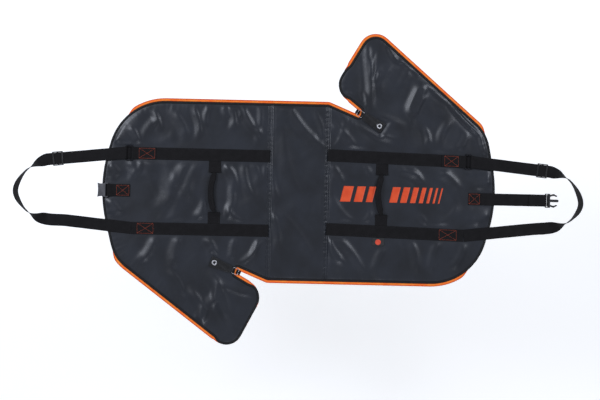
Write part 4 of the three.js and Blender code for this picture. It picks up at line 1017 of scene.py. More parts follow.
# %% Straps
WEB_THICK = 1.4
WANDER_WAVES, WANDER = (61, 97, 143), 0.006  # webbing is never quite the same width all along
STRAP_Z, TOP_LAYER_Z, PIPING_TOP_Z = 5.7, 7.4, 6.8
RING_Z, RING_WRAP, RING_LENGTH = 8.9, 3.2, 22.6
ACROSS = np.array([0.0, 1.0, 0.0])


def strap_profile(width, thick):
    """A flat closed profile with rounded, slightly thicker edges; its middle columns can take a crown."""
    x = np.array([-0.5, -0.487, -0.455, -0.3, -0.1, 0.1, 0.3, 0.455, 0.487, 0.5])
    half = np.array([0.22, 0.45, 0.54, 0.47, 0.5, 0.5, 0.47, 0.54, 0.45, 0.22])
    top = np.column_stack([x * width, half * thick])
    return np.vstack([top, top[::-1] * (1, -1)])


def stretch(points, step=3.0):
    """Points joined by straight webbing, sampled about a step apart, free to be smoothed."""
    line = spaced(np.array(points, float), step)
    return line, np.zeros(len(line), bool)


def round_bar(x, y, z, radius, outwards, start_below, count=12):
    """Half a turn round a bar that lies across the web; these places are kept exactly."""
    angle = np.linspace(0, math.pi, count)
    rise = -np.cos(angle) if start_below else np.cos(angle)
    arc = np.column_stack([x + outwards * radius * np.sin(angle), np.full(count, y), z + radius * rise])
    return arc, np.ones(count, bool)


def strap(parts, across=ACROSS, width=WEB, thick=WEB_THICK, passes=3, turn=1, seed=1):
    """Sweeps webbing along its parts: place the line, smooth it where it is free, square its frame."""
    line = np.vstack([p for p, _ in parts])
    held = np.concatenate([h for _, h in parts])
    keep = np.concatenate([[True], np.linalg.norm(np.diff(line, axis=0), axis=1) > 0.05])
    line, held = line[keep], held[keep]
    across = np.broadcast_to(across, (len(keep), 3))[keep]
    held[[0, -1]] = True
    for _ in range(passes):
        mean = line.copy()
        mean[1:-1] = (line[:-2] + 2 * line[1:-1] + line[2:]) / 4
        line = np.where(held[:, None], line, mean)
    at = lengths(line)
    random = np.random.default_rng(seed)
    wander = sum(np.sin(2 * math.pi * at / wave + random.uniform(0, 6)) for wave in WANDER_WAVES) / 3
    along = unit(np.gradient(line, axis=0))
    side = unit(across - (across * along).sum(1, keepdims=True) * along)
    up = np.cross(side, along)
    widths = np.stack([1 + WANDER * wander, np.ones(len(line))], -1)
    shape = strap_profile(width, thick)[None] * widths[:, None]
    spin = np.array([turn, turn, 1.0])
    return sweep(line * spin, side * spin, up * spin, shape)


def strap_y(ends, x):
    """The middle of a sewn strap at x, between its y at the seam and its y at the ring."""
    return ends[0] + (ends[1] - ends[0]) * (x - SEAM_X) / (RING_X - SEAM_X)


print("webbing", WEB, "x", WEB_THICK, "mm; its layers", STRAP_Z, "and", TOP_LAYER_Z, "mm up")

# %% Stitches
STITCH, STITCH_PITCH, THREAD_THICK, FINE_THREAD = 3.4, 4.4, 0.95, 0.6


def stitch_shape(thick=THREAD_THICK):
    """One stitch: a six-sided thread that dips into the cloth at both ends."""
    x = np.array([-0.5, -0.3, 0.3, 0.5]) * STITCH
    path = np.column_stack([x, np.zeros(4), np.array([-0.45, 0.15, 0.15, -0.45])])
    size = np.array([0.5, 1, 1, 0.5])[:, None, None]
    side, up = np.tile([[0, 1.0, 0]], (4, 1)), np.tile([[0, 0, 1.0]], (4, 1))
    return sweep(path, side, up, oval(thick, thick * 0.8, 6)[None] * size)


def stitches(line, turn=1, thick=THREAD_THICK):
    """A row of stitches along a line of places, each turned to lie along it."""
    at = lengths(line)
    count = max(2, int(round(at[-1] / STITCH_PITCH)))
    there = (np.arange(count) + 0.5) * at[-1] / count
    pick = lambda distance: np.stack([np.interp(distance, at, values) for values in line.T], 1)
    spin = np.array([turn, turn, 1.0])
    places = pick(there)
    along = unit((pick(there + 0.5) - pick(there - 0.5)) * spin)
    side = unit(np.cross(UP, along))
    return copies(stitch_shape(thick), places * spin, along, side, np.cross(along, side))


def box_stitch(x0, x1, middle, z, turn, high=33):
    """A sewn rectangle with both diagonals, over the doubled end of a strap."""
    y0, y1 = middle(x0), middle(x1)
    a, b = (x0, y0 - high / 2, z), (x1, y1 - high / 2, z)
    c, d = (x1, y1 + high / 2, z), (x0, y0 + high / 2, z)
    lines = [(a, b), (b, c), (c, d), (d, a), (a, c), (b, d)]
    return [(stitches(np.array(ends, float), turn), 1) for ends in lines]


def edge_rows(x0, x1, middle, z, turn):
    """Two fine rows that hold a strap down, one near each of its edges."""
    x, level = np.array([x0, x1]), [z, z]
    lines = [np.column_stack([x, middle(x) + side, level]) for side in (SEW_IN, -SEW_IN)]
    return [(stitches(line, turn, FINE_THREAD), 2) for line in lines]


SEW_IN = WEB / 2 - 2.6  # from a strap's middle to its rows of stitches
print("a stitch of", STITCH, "mm every", STITCH_PITCH, "mm")


# %% [markdown]
# Each half carries two sewn straps. The ring strap runs out from the fold seam, round the inner bar
# of its ring and back over itself, where a box stitch holds it. A strip of dark webbing lies under the
# ring and fills its opening with dark. The plain strap has a box stitch too, where the free loop leaves
# the panel.

# %% Sewn straps
RING_BOX = {"right": (486, 543), "left": (476, 533)}
PLAIN_BOX = {"right": (473, 530), "left": (480, 533)}
LANDING_X = RING_X - 20  # where the returning layer lies down on the lower one
RING_END_X = LANDING_X - 58
PATCH_Z, PATCH_THICK = 4.9, 1.0  # the strip of dark webbing under each ring, seen through its opening
ROW_Z = STRAP_Z + WEB_THICK / 2 + 0.05  # stitches half sunk into the lower layer's face
BOX_TOP_Z = TOP_LAYER_Z + WEB_THICK / 2 + 0.1
for name, turn in HALVES:
    ends = STRAPS[name]
    middle = lambda x: strap_y(ends["ring"], x)
    bar_y = middle(RING_X)
    ring_parts = [
        stretch([(SEAM_X + 0.4, middle(SEAM_X), STRAP_Z), (RING_X - 1, bar_y, STRAP_Z)]),
        round_bar(RING_X, bar_y, RING_Z, RING_WRAP, 1, True),
        stretch([
            (RING_X - 1, bar_y, RING_Z + RING_WRAP), (LANDING_X, middle(LANDING_X), TOP_LAYER_Z),
            (RING_END_X, middle(RING_END_X), TOP_LAYER_Z)]),
    ]
    patch = stretch([(RING_X - 3, bar_y, PATCH_Z), (RING_X + 20, bar_y, PATCH_Z)])
    sewn = [(strap(ring_parts, turn=turn), 0), (strap([patch], thick=PATCH_THICK, turn=turn), 0)]
    box = RING_BOX[name]
    sewn += box_stitch(max(box[0], RING_END_X + 4), min(box[1], LANDING_X - 2), middle, BOX_TOP_Z, turn)
    sewn += edge_rows(SEAM_X + 4, RING_END_X - 3, middle, ROW_Z, turn)
    piece(
        f"{name}_ring_strap_webbing", sewn, [WEBBING, THREAD, DARK_THREAD],
        f"{name}_side", [f"{name}_ring_strap"])
    middle = lambda x: strap_y(ends["plain"], x)
    plain = stretch([(SEAM_X + 0.4, middle(SEAM_X), STRAP_Z), (RING_X - 0.2, middle(RING_X), STRAP_Z)])
    sewn = [(strap([plain], turn=turn), 0)]
    sewn += box_stitch(*PLAIN_BOX[name], middle, ROW_Z + 0.1, turn)
    sewn += edge_rows(SEAM_X + 4, PLAIN_BOX[name][0] - 3, middle, ROW_Z, turn)
    piece(
        f"{name}_plain_strap_webbing", sewn, [WEBBING, THREAD, DARK_THREAD],
        f"{name}_side", [f"{name}_plain_strap"])

# %% [markdown]
# ## The carrying loops
#
# One length of webbing makes each loop. It leaves the panel flat, drops over the piping to the
# ground, stands up on edge to go round the bend at the far end, lies down again, passes through the
# adjuster, goes round the ring's outer bar and comes back underneath to the adjuster. The bend is a
# smooth curve through six places. Along it the ribbon rolls from flat, through upright, to leaning
# out, and back.

# %% The line of a loop
LOOP_FLOOR, LAYER = 1.0, 3.6
TWIST_START, EDGE_ON, LEAN_LENGTH, LEAN = 836, 904, 35, 16
TWIST_POWER = 0.75  # under one, so most of the roll comes early
CLIMB_X, DROP_X, GROUND_X = 640, 676, 705
BENDS = {
    "right": [(784, -105), (852, -97), (906, -74), (939.5, -19), (901, 60), (840, 87)],
    "left": [(774, -110), (843, -106), (897, -84), (938.5, -17), (905, 52), (840, 91)],
}
ADJUSTER_X = {"right": 811, "left": 802}


def ease(t):
    """Three t squared less two t cubed, held between 0 and 1."""
    t = np.clip(t, 0, 1)
    return t * t * (3 - 2 * t)


def curve_through(points, step=3.0):
    """A centripetal Catmull-Rom curve: each span's knots are spaced by the root of its length."""
    p = np.array(points, float)
    p = np.vstack([2 * p[0] - p[1], p, 2 * p[-1] - p[-2]])
    out = []
    for a, b, c, d in zip(p, p[1:], p[2:], p[3:]):
        k1 = np.linalg.norm(b - a) ** 0.5
        k2 = k1 + np.linalg.norm(c - b) ** 0.5
        k3 = k2 + np.linalg.norm(d - c) ** 0.5
        t = np.linspace(k1, k2, 60)[:, None]
        ab, bc = a + (b - a) * t / k1, b + (c - b) * (t - k1) / (k2 - k1)
        cd = c + (d - c) * (t - k2) / (k3 - k2)
        abc, bcd = ab + (bc - ab) * t / k2, bc + (cd - bc) * (t - k1) / (k3 - k1)
        out.append((abc + (bcd - abc) * (t - k1) / (k2 - k1))[:-1])
    return spaced(np.vstack([*out, p[-2:-1]]), step)


def loop_height(x):
    """Height of the lower layer of a loop between the panel and the ground."""
    places = [RING_X, RING_X + 46, CLIMB_X, DROP_X, GROUND_X, EDGE_ON]
    return np.interp(x, places, [STRAP_Z, STRAP_Z + 0.3, PIPING_TOP_Z, PIPING_TOP_Z, LOOP_FLOOR, LOOP_FLOOR])


print("a loop's bend is", [round(lengths(curve_through(line))[-1]) for line in BENDS.values()], "mm long")

# %% Loop webbing


def loop_stations(name):
    """Places and across directions of one loop, in the right half's place with the ring at +y."""
    plain_y, ring_y = -abs(STRAPS[name]["plain"][1]), abs(STRAPS[name]["ring"][1])
    bend = curve_through(BENDS[name])
    along = unit(np.gradient(bend, axis=0))
    x = bend[:, 0]
    twist = 90 * ease((x - TWIST_START) / (EDGE_ON - TWIST_START)) ** TWIST_POWER
    roll = np.radians(twist + LEAN * ease((x - EDGE_ON) / LEAN_LENGTH))
    share = lengths(bend) / lengths(bend)[-1]
    level = LOOP_FLOOR + np.where(share > 0.5, LAYER * (1 - np.sin(roll)), 0)
    bend3 = np.column_stack([bend, level + WEB / 2 * np.sin(roll)])
    rolled = np.column_stack([-along[:, 1] * np.cos(roll), along[:, 0] * np.cos(roll), np.sin(roll)])
    bar = RING_X + RING_LENGTH
    start_x = np.array([RING_X + 0.2, RING_X + 46, CLIMB_X, DROP_X, GROUND_X, bend[0, 0]])
    out_y = plain_y + (bend[0, 1] - plain_y) * (start_x - start_x[0]) / (bend[0, 0] - start_x[0])
    out, _ = stretch(np.column_stack([start_x, out_y, loop_height(start_x)]))
    back_y = lambda x: ring_y + (bend[-1, 1] - ring_y) * (x - bar) / (bend[-1, 0] - bar)
    down = np.array([bend[-1, 0], GROUND_X, DROP_X, CLIMB_X])
    upper = np.column_stack([down, back_y(down), loop_height(down) + LAYER])
    upper = np.vstack([upper, [(bar + 1, ring_y, RING_Z + RING_WRAP)]])
    last = ADJUSTER_X[name] + 4
    again = np.array([CLIMB_X, DROP_X, GROUND_X, last])
    lower = np.column_stack([again, back_y(again), loop_height(again)])
    lower = np.vstack([[(bar + 1, ring_y, RING_Z - RING_WRAP)], lower])
    parts = [
        (out[:-1], np.zeros(len(out) - 1, bool)), (bend3, np.zeros(len(bend3), bool)), stretch(upper),
        round_bar(bar, ring_y, RING_Z, RING_WRAP, -1, False), stretch(lower)]
    across = [np.tile(ACROSS, (len(parts[0][0]), 1)), rolled]
    across += [np.tile(-ACROSS, (len(p), 1)) for p, _ in parts[2:]]  # turned over on the way back
    return parts, np.vstack(across)


def mirrored(parts, across, flip):
    """The same stations with y turned over where the ring is on the other side."""
    spin = np.array([1, flip, 1.0])
    return [(p * spin, h) for p, h in parts], across * spin


for name, turn in HALVES:
    parts, across = mirrored(*loop_stations(name), STRAPS[name]["side"])
    loop = strap(parts, across, passes=5, turn=turn, seed=4)
    piece(f"{name}_loop_strap", [(loop, 0)], [WEBBING], f"{name}_loop", [f"{name}_loop_webbing"])

# %% [markdown]
# ## The closing strap
#
# A short strap is sewn to the right side panel and ends in the male half of a side-release buckle. Its
# spare end is folded back over it. The female half hangs from a doubled tab on the left side panel.

# %% Closing strap, anchor and buckle tab
ANCHOR, BUCKLE_TAB = (567.0, 608.0), 560.0
MALE_X, MALE_Z, FEMALE_X, FEMALE_Z = 824.0, 4.0, 633.0, 11.0
BUCKLE_WRAP = 3.0
TAIL_Z = (3.1, 2.9)  # the folded-back tail, where it lands and at its end
TAB_SEWN_TO = 604
along_x = lambda y, places: stretch([(x, y, z) for x, z in places])  # webbing that runs straight out in x
anchor = [(strap([along_x(CLOSING_Y, [(ANCHOR[0], STRAP_Z), (ANCHOR[1] - 0.4, STRAP_Z)])]), 0)]
anchor += box_stitch(ANCHOR[0] + 3, ANCHOR[1] - 3, lambda x: CLOSING_Y, STRAP_Z + WEB_THICK / 2 + 0.1, 1)
piece("closing_anchor_webbing", anchor, [WEBBING, THREAD], "right_side", ["closing_strap_anchor"])
closing = [
    along_x(CLOSING_Y, [
        (ANCHOR[1] + 0.3, STRAP_Z), (CLIMB_X, PIPING_TOP_Z), (DROP_X, PIPING_TOP_Z),
        (GROUND_X, LOOP_FLOOR), (MALE_X - 1, LOOP_FLOOR)]),
    round_bar(MALE_X, CLOSING_Y, MALE_Z, BUCKLE_WRAP, 1, True),
    along_x(CLOSING_Y, [
        (MALE_X - 1, MALE_Z + BUCKLE_WRAP), (MALE_X - 16, TAIL_Z[0]), (MALE_X - 56, TAIL_Z[1])]),
]
web = strap(closing, seed=6)
piece("closing_strap_webbing", [(web, 0)], [WEBBING], "closing_strap", ["closing_strap"])
tab = [
    along_x(BUCKLE_Y, [
        (BUCKLE_TAB, STRAP_Z), (FEMALE_X - 14, STRAP_Z), (FEMALE_X - 1, FEMALE_Z - BUCKLE_WRAP)]),
    round_bar(FEMALE_X, BUCKLE_Y, FEMALE_Z, BUCKLE_WRAP, 1, True),
    along_x(BUCKLE_Y, [
        (FEMALE_X - 1, FEMALE_Z + BUCKLE_WRAP), (FEMALE_X - 18, TOP_LAYER_Z), (BUCKLE_TAB, TOP_LAYER_Z)]),
]
sewn = [(strap(tab, turn=-1), 0)]
sewn += box_stitch(BUCKLE_TAB + 3, TAB_SEWN_TO, lambda x: BUCKLE_Y, BOX_TOP_Z, -1)
piece("buckle_tab_webbing", sewn, [WEBBING, THREAD], "left_side", ["buckle_strap_tab"])

# %% [markdown]
# ## Grab handles
#
# Each handle is a length of webbing between the two straps. Its ends lie flat as tabs, and between
# them the webbing is folded lengthwise and sewn, which makes a narrow, stiff grip that bows out. The
# tabs are short straps. The grip is a sweep whose oval profile swells from its ends, with a shallow
# groove along the fold and a row of stitches on each side of it.

# %% Handles
GRIP_LENGTH, GRIP_BOW, GRIP_RISE, GRIP_Z = 132.0, 12.0, 5.0, 11.3
GRIP_ENDS, GRIP_MIDDLE = (11.0, 5.0), (19.0, 6.0)
TAB_RAMP = 15.0
GROOVE_DEPTH, GROOVE_AT, GROOVE_WIDE = 0.28, 0.1, 0.16  # in the unit profile
DENT, DENT_WAVES = 0.5, (3.1, 7.3, 12.7)
ROW_PLACES = (-0.42, 0.5)  # the grip's rows of stitches, as shares of its half width
TAB_SEW = 16.5  # from a tab's middle to its rows


def grip_profile(points=28):
    """An oval of unit size with flattened faces and a groove along its upper side."""
    shape = oval(2, 2, points, 2.6)
    groove = GROOVE_DEPTH * np.exp(-(((shape[:, 0] - GROOVE_AT) / GROOVE_WIDE) ** 2)) * (shape[:, 1] > 0)
    return shape - np.column_stack([np.zeros(points), groove])


for name, turn in HALVES:
    s = STRAPS[name]["side"]
    low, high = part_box(f"{name}_handle_grip")
    middle = (low.y + high.y) / 2 / MM * turn
    bow = -GRIP_BOW * turn
    y = np.linspace(-GRIP_LENGTH / 2, GRIP_LENGTH / 2, 67)
    arch = np.cos(math.pi * y / GRIP_LENGTH)
    swell = ease(2.5 * arch)
    random = np.random.default_rng(21)
    dent = sum(np.sin(y / wave + random.uniform(0, 6)) for wave in DENT_WAVES) / 3
    path = np.column_stack([HANDLE_X + bow * arch + DENT * dent, middle + y, GRIP_Z + GRIP_RISE * arch])
    size = np.column_stack([
        GRIP_ENDS[0] + (GRIP_MIDDLE[0] - GRIP_ENDS[0]) * swell + DENT * dent,
        GRIP_ENDS[1] + (GRIP_MIDDLE[1] - GRIP_ENDS[1]) * swell]) / 2
    along = unit(np.gradient(path, axis=0))
    side = unit(np.cross(along, UP))
    up = np.cross(side, along)
    spin = np.array([turn, turn, 1.0])
    grip = sweep(path * spin, side * spin, up * spin, grip_profile()[None] * size[:, None])
    rows = []
    for place in ROW_PLACES:
        on_top = path + side * (place * size[:, :1]) + up * (0.9 * size[:, 1:])
        rows.append((stitches(on_top[7:-7], turn, thick=0.7), 1))
    piece(
        f"{name}_handle_grip_folded", [(grip, 0), *rows], [WEBBING, DARK_THREAD],
        f"{name}_handle", [f"{name}_handle_grip"])
    for place, way in (("ring_side", s), ("plain_side", -s)):
        low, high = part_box(f"{name}_handle_tab_{place}")
        ends = sorted((low.y / MM * turn, high.y / MM * turn))
        edge, inner = (ends[1], ends[0]) if way > 0 else (ends[0], ends[1])
        ramp = inner + way * TAB_RAMP
        half_up = (STRAP_Z + GRIP_Z) / 2
        route = [
            (HANDLE_X, edge, STRAP_Z), (HANDLE_X, ramp, STRAP_Z),
            (HANDLE_X, inner + way * 0.35 * TAB_RAMP, half_up), (HANDLE_X, inner + way * 0.1, GRIP_Z - 1)]
        web = strap([stretch(route, 1.5)], across=np.array([-1.0, 0, 0]), turn=turn, passes=6)
        left, right = HANDLE_X - TAB_SEW, HANDLE_X + TAB_SEW
        lines = [[(x, edge - way * 2, ROW_Z), (x, ramp, ROW_Z)] for x in (left, right)]
        lines.append([(left, ramp + way * 2, ROW_Z), (right, ramp + way * 2, ROW_Z)])
        rows = [(web, 0)] + [(stitches(np.array(line), turn, FINE_THREAD), 1) for line in lines]
        piece(
            f"{name}_handle_{place}_webbing", rows, [WEBBING, DARK_THREAD],
            f"{name}_side", [f"{name}_handle_tab_{place}"])

# %% [markdown]
# ## Rings, pulls and eyelets
#
# The rings are bent from round steel wire and painted black. The pull hangs from its slider on a
# nickel-plated wire link; it is a stiff strip of coated webbing with a nickel eyelet. Wire is a round
# profile carried round a closed rectangle with turned corners. The eyelet is its section turned round
# an axis: point = (r cos a, r sin a, h) for each point (r, h) of the section.

# %% Wire and sheet-metal finishes
def metal(name, colour, roughness, dark, light):
    """Plated or painted metal: hard, with faint handling marks that break up its shine."""
    made, tree, shader = new_finish(name, colour, roughness, Metallic=1.0)
    vector = add(tree, "ShaderNodeTexCoord").outputs["Object"]
    vary(tree, shader, vector, 5, dark, light, (roughness * 0.8, roughness * 1.35))
    return made


def plastic(name, colour, roughness, dark, light):
    """Acetal as moulded: even colour, satin skin with a fine spark-eroded grain of 0.6 mm."""
    made, tree, shader = new_finish(name, colour, roughness, IOR=1.48)
    vector = add(tree, "ShaderNodeTexCoord").outputs["Object"]
    vary(tree, shader, vector, 9, dark, light, (roughness * 0.85, roughness * 1.2))
    grain = add(tree, "ShaderNodeTexNoise", {"Vector": vector, "Scale": 1000 / 0.6, "Detail": 2.0})
    relief(tree, shader, [(grain.outputs["Fac"], 0.25, 0.05)])
    return made


NICKEL = metal("steel_nickel_plated", "#cfcfd2", 0.4, "#c2c2c6", "#dadadd")
BLACKED = metal("steel_black_painted", "#2b2b2e", 0.38, "#252528", "#333337")
BLACK_ACETAL = plastic("acetal_black_moulded", "#131315", 0.36, "#111113", "#18181b")
GREY_ACETAL = plastic("acetal_grey_moulded", "#48484c", 0.4, "#434347", "#4e4e53")
print("finishes:", ", ".join(made.name for made in (NICKEL, BLACKED, BLACK_ACETAL, GREY_ACETAL)))

# %% Rings


def rectangle_path(long, wide, corner, step=0.8):
    """A rectangle's outline with turned corners, from its middle, evenly spaced, without a repeat."""
    quarter = np.linspace(0, math.pi / 2, 9)
    points = []
    for k, (sx, sy) in enumerate(((1, 1), (-1, 1), (-1, -1), (1, -1))):
        a = quarter + k * math.pi / 2
        centre = np.array([sx * (long / 2 - corner), sy * (wide / 2 - corner)])
        points.append(centre + corner * np.stack([np.cos(a), np.sin(a)], 1))
    ring = np.vstack([*points, points[0][:1]])
    return spaced(ring, step)[:-1]


def wire_ring(outline, thick, centre, ahead):
    """Round wire along a closed flat outline, placed at a centre and turned to point ahead."""
    n = len(outline)
    along = unit(np.roll(outline, -1, 0) - np.roll(outline, 1, 0))
    out = np.column_stack([along[:, 1], -along[:, 0]])
    x_axis = np.array([*ahead, 0.0])
    y_axis = np.array([-ahead[1], ahead[0], 0.0])
    path = centre + outline[:, :1] * x_axis + outline[:, 1:] * y_axis
    side = out[:, :1] * x_axis + out[:, 1:] * y_axis
    return sweep(path, side, np.tile(UP, (n, 1)), oval(thick, thick, 14), closed=True)


RING_WIRE, RING_WIDE, RING_CORNER = 4.4, 46.0, 3.0
for name, turn in HALVES:
    y = STRAPS[name]["ring"][1]
    centre = np.array([turn * (RING_X + RING_LENGTH / 2), turn * y, RING_Z])
    ring = wire_ring(rectangle_path(RING_LENGTH, RING_WIDE, RING_CORNER), RING_WIRE, centre, (1.0, 0.0))
    piece(f"{name}_wire_ring", [(ring, 0)], [BLACKED], f"{name}_loop", [f"{name}_ring"])

# %% Webbing of the zip pulls, and their eyelets
PULL_Z, LINK, LINK_WIRE, LINK_CORNER = 8.1, 20.0, 1.8, 3
SLIDERS = {"right": (193.16, 271.65), "left": (-192.71, -270.81)}
PULLS = {"right": (0.848, -0.530), "left": (-0.934, 0.358)}
EYELET_AT, EYELET_HOLE, EYELET_FLANGE = 86.0, 9.0, 17.0
PULL_ROWS = [(30, 10.2), (97, 15.2)]  # along the strip and out from its middle, at each end of a row
PULL_SEAM, PULL_SEAM_HALF, PULL_TOP = 97.3, 15, PULL_Z + 1.35


def pull_webbing():
    """Webbing with a skin of soft PVC pressed on: black, slightly shiny, its weave still showing."""
    made, tree, shader = new_finish("webbing_pvc_pressed", "#141416", 0.5, **{"Specular IOR Level": 0.35})
    vector = add(tree, "ShaderNodeTexCoord").outputs["Object"]
    vary(tree, shader, vector, 14, "#111113", "#1a1a1c", (0.42, 0.55))
    relief(tree, shader, [(weave(tree, vector, 2.0, 2.0), 0.4, 0.2)])
    return made


PULL_WEB = pull_webbing()


def turned(section, centre, count=40):
    """A section of (r, h) points turned once round the vertical through a centre."""
    angle = np.linspace(0, 2 * math.pi, count, endpoint=False)
    path = np.tile(np.array(centre, float), (count, 1))
    out = np.column_stack([np.cos(angle), np.sin(angle), np.zeros(count)])
    return sweep(path, out, np.tile(UP, (count, 1)), np.array(section, float), closed=True)


def eyelet_section():
    """Half a two-part eyelet: a rolled flange above and below the webbing, joined by its barrel."""
    r, edge, lift = EYELET_HOLE / 2, EYELET_FLANGE / 2, 1.4
    roll = np.linspace(math.pi, 0, 9)
    top = np.column_stack([(r + edge) / 2 + (edge - r) / 2 * np.cos(roll), lift + 0.7 * np.sin(roll)])
    face, barrel = lift - 0.05, r + 0.8
    inner = np.array([(edge, face), (barrel, face), (barrel, -face), (edge, -face)])
    return np.vstack([top, inner, (top * (1, -1))[::-1]])


print(len(eyelet_section()), "points in the eyelet's section")

# %% Moulded and cut parts, from the frame's own
FLAT_ANGLE, EDGE_ANGLE = 0.8, 28  # degrees: faces closer than one are joined, edges over the other eased


def refined(node, name, finish, body, width, segments=2):
    """A merged copy of a moulded part of the frame, its flat faces joined and its edges eased."""
    mesh = bmesh.new()
    mesh.from_mesh(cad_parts[node].data)
    bmesh.ops.remove_doubles(mesh, verts=mesh.verts, dist=2e-6)
    bmesh.ops.dissolve_limit(
        mesh, angle_limit=math.radians(FLAT_ANGLE), verts=mesh.verts, edges=mesh.edges,
        use_dissolve_boundaries=False)
    data = bpy.data.meshes.new(name)
    mesh.to_mesh(data)
    mesh.free()
    data.polygons.foreach_set("use_smooth", [True] * len(data.polygons))
    data.materials.clear()
    data.materials.append(finish)
    made = bpy.data.objects.new(name, data)
    bpy.context.scene.collection.objects.link(made)
    eased = made.modifiers.new("eased", "BEVEL")
    eased.width, eased.segments, eased.angle_limit = width * MM, segments, math.radians(EDGE_ANGLE)
    eased.limit_method, eased.harden_normals, eased.use_clamp_overlap = "ANGLE", True, True
    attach(made, body)
    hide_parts(node)
    print(name, len(data.polygons), "faces before easing")
    return made


# %% Zip pulls
for name, turn in HALVES:
    at, ahead = SLIDERS[name], np.array(PULLS[name])
    ahead /= np.linalg.norm(ahead)
    centre = np.array([at[0] + ahead[0] * LINK / 2, at[1] + ahead[1] * LINK / 2, PULL_Z])
    link = wire_ring(rectangle_path(LINK, LINK, LINK_CORNER, 0.6), LINK_WIRE, centre, ahead)
    piece(f"{name}_pull_wire", [(link, 0)], [NICKEL], f"{name}_pull", [f"{name}_pull_link"])
    hole = (at[0] + ahead[0] * EYELET_AT, at[1] + ahead[1] * EYELET_AT, PULL_Z)
    eyelet = turned(eyelet_section(), hole)
    piece(f"{name}_pull_grommet", [(eyelet, 0)], [NICKEL], f"{name}_pull", [f"{name}_pull_eyelet"])
    refined(f"{name}_pull_tab", f"{name}_pull_strip", PULL_WEB, f"{name}_pull", 0.5)
    across = np.array([-ahead[1], ahead[0]])
    lines = [[(x, y * way) for x, y in PULL_ROWS] for way in (1, -1)]
    lines.append([(PULL_SEAM, y) for y in (-PULL_SEAM_HALF, PULL_SEAM_HALF)])
    rows = []
    for ends in lines:
        line = np.array([(*(at + ahead * x + across * y), PULL_TOP) for x, y in ends])
        rows.append((stitches(line, thick=0.7), 0))
    piece(f"{name}_pull_stitching", rows, [DARK_THREAD], f"{name}_pull")
    refined(f"{name}_zip_slider", f"{name}_slider_cast", BLACKED, f"{name}_slider", 0.35)

# %% [markdown]
# ## Moulded parts
#
# The buckle halves and the strap adjusters are acetal mouldings. Their shape is already right in the
# frame, down to the slots and the side openings, but a moulding never has a sharp edge: the tool is
# cut with small radii. A bevel on a merged copy gives each edge the thin line of light it should have.

# %% Buckles and adjusters
refined("female_buckle", "female_buckle_moulded", GREY_ACETAL, "female_buckle", 0.6, 3)
refined("male_buckle", "male_buckle_moulded", BLACK_ACETAL, "male_buckle", 0.6, 3)
LIP_X, LIP_WIDE, LIP_HIGH, LIP_LONG = 830.6, 4.4, 4.4, 38.0  # the lip that narrows the web slot
lip_line = np.array([[LIP_X, CLOSING_Y + way * LIP_LONG / 2, MALE_Z] for way in (-1, 1)])
lip_side, lip_up = np.tile([[1.0, 0, 0]], (2, 1)), np.tile([[0, 0, 1.0]], (2, 1))
lip = sweep(lip_line, lip_side, lip_up, oval(LIP_WIDE, LIP_HIGH, 16, 5.0))
piece("male_buckle_lip", [(lip, 0)], [BLACK_ACETAL], "male_buckle")
ROOT_DEPTH, ROOT_IN = 0.3, 1.2  # an arm's root face is pushed this far into the buckle's body
for place in ("back", "front"):
    arm = refined(
        f"male_buckle_arm_{place}", f"male_arm_{place}_moulded", BLACK_ACETAL,
        f"male_arm_{place}", 0.6, 3)
    places = np.empty(3 * len(arm.data.vertices))
    arm.data.vertices.foreach_get("co", places)
    places[::3] -= np.where(places[::3] < places[::3].min() + ROOT_DEPTH * MM, ROOT_IN * MM, 0)
    arm.data.vertices.foreach_set("co", places)
for name, _ in HALVES:
    moulded = f"{name}_adjuster_moulded"
    refined(f"{name}_adjuster", moulded, BLACK_ACETAL, f"{name}_adjuster", 0.5, 3)

# %% [markdown]
# ## Print and label
#
# The right side panel has a printed band. Screen ink is a skin a tenth of a millimetre thick that
# follows every wrinkle, so the print is a thin sheet draped on the cloth's own height map. Here it is
# a plain row of slanted bars that get narrower. The label is a small woven tab with a round dot.

# %% Printed bars
def ink():
    """Plastisol screen ink on coated cloth: flat orange with a slight sheen and tiny pinholes."""
    made, tree, shader = new_finish("screen_ink_plastisol", "#dd4a1c", 0.5)
    vector = cloth_map(tree)
    vary(tree, shader, vector, 25, "#d64518", "#e45223", (0.44, 0.56))
    relief(tree, shader, [(crinkled(tree, vector), 0.3, 0.6)])
    return made


INK = ink()
INK_THICK, INK_LIFT = 0.12, 0.22
BAR_LOW, BAR_HIGH, BAR_SLANT = -27.0, 25.0, 12.0
BARS = (  # x of each bar's foot, and its width
    (140, 34), (186, 28), (226, 22), (304, 26), (340, 22),
    (373, 18), (402, 14), (427, 10), (448, 7), (466, 5))


def draped(x, y, lift, thick):
    """A thin closed sheet over a grid of places, lying a little way above the cloth."""
    z = cloth_height(x, y) + lift
    n, m = x.shape
    top = np.stack([x, y, z], -1).reshape(-1, 3)
    base = top - (0, 0, thick)
    quads = cell_faces(n - 1, m - 1, n, m)
    rim = np.concatenate([
        np.arange(n) * m, (n - 1) * m + np.arange(1, m),
        np.arange(n - 2, -1, -1) * m + m - 1, np.arange(m - 2, 0, -1)])
    after = np.roll(rim, -1)
    count = n * m
    wall = np.stack([rim, rim + count, after + count, after], 1)
    faces = [quads, quads[:, ::-1] + count, wall[:, ::-1]]
    points = np.vstack([top, base])
    return points, faces, [points[f][..., :2] for f in faces]


bars = []
for start, wide in BARS:
    across, up = np.linspace(0, wide, max(3, round(wide / 3))), np.linspace(BAR_LOW, BAR_HIGH, 18)
    u, v = np.meshgrid(across, up, indexing="ij")
    slanted = start + u + BAR_SLANT * (v - BAR_LOW) / (BAR_HIGH - BAR_LOW)
    bars.append((draped(slanted, v, INK_LIFT, INK_THICK), 0))
piece("printed_bars", bars, [INK], "right_side")

# %% The woven label
LABEL_TOP, LABEL_THICK, DOT_TOP, DOT_RADIUS, DOT_THICK = 5.7, 0.55, 5.95, 9.5, 0.25
CURL = 0.9  # how far the label's free edge lifts


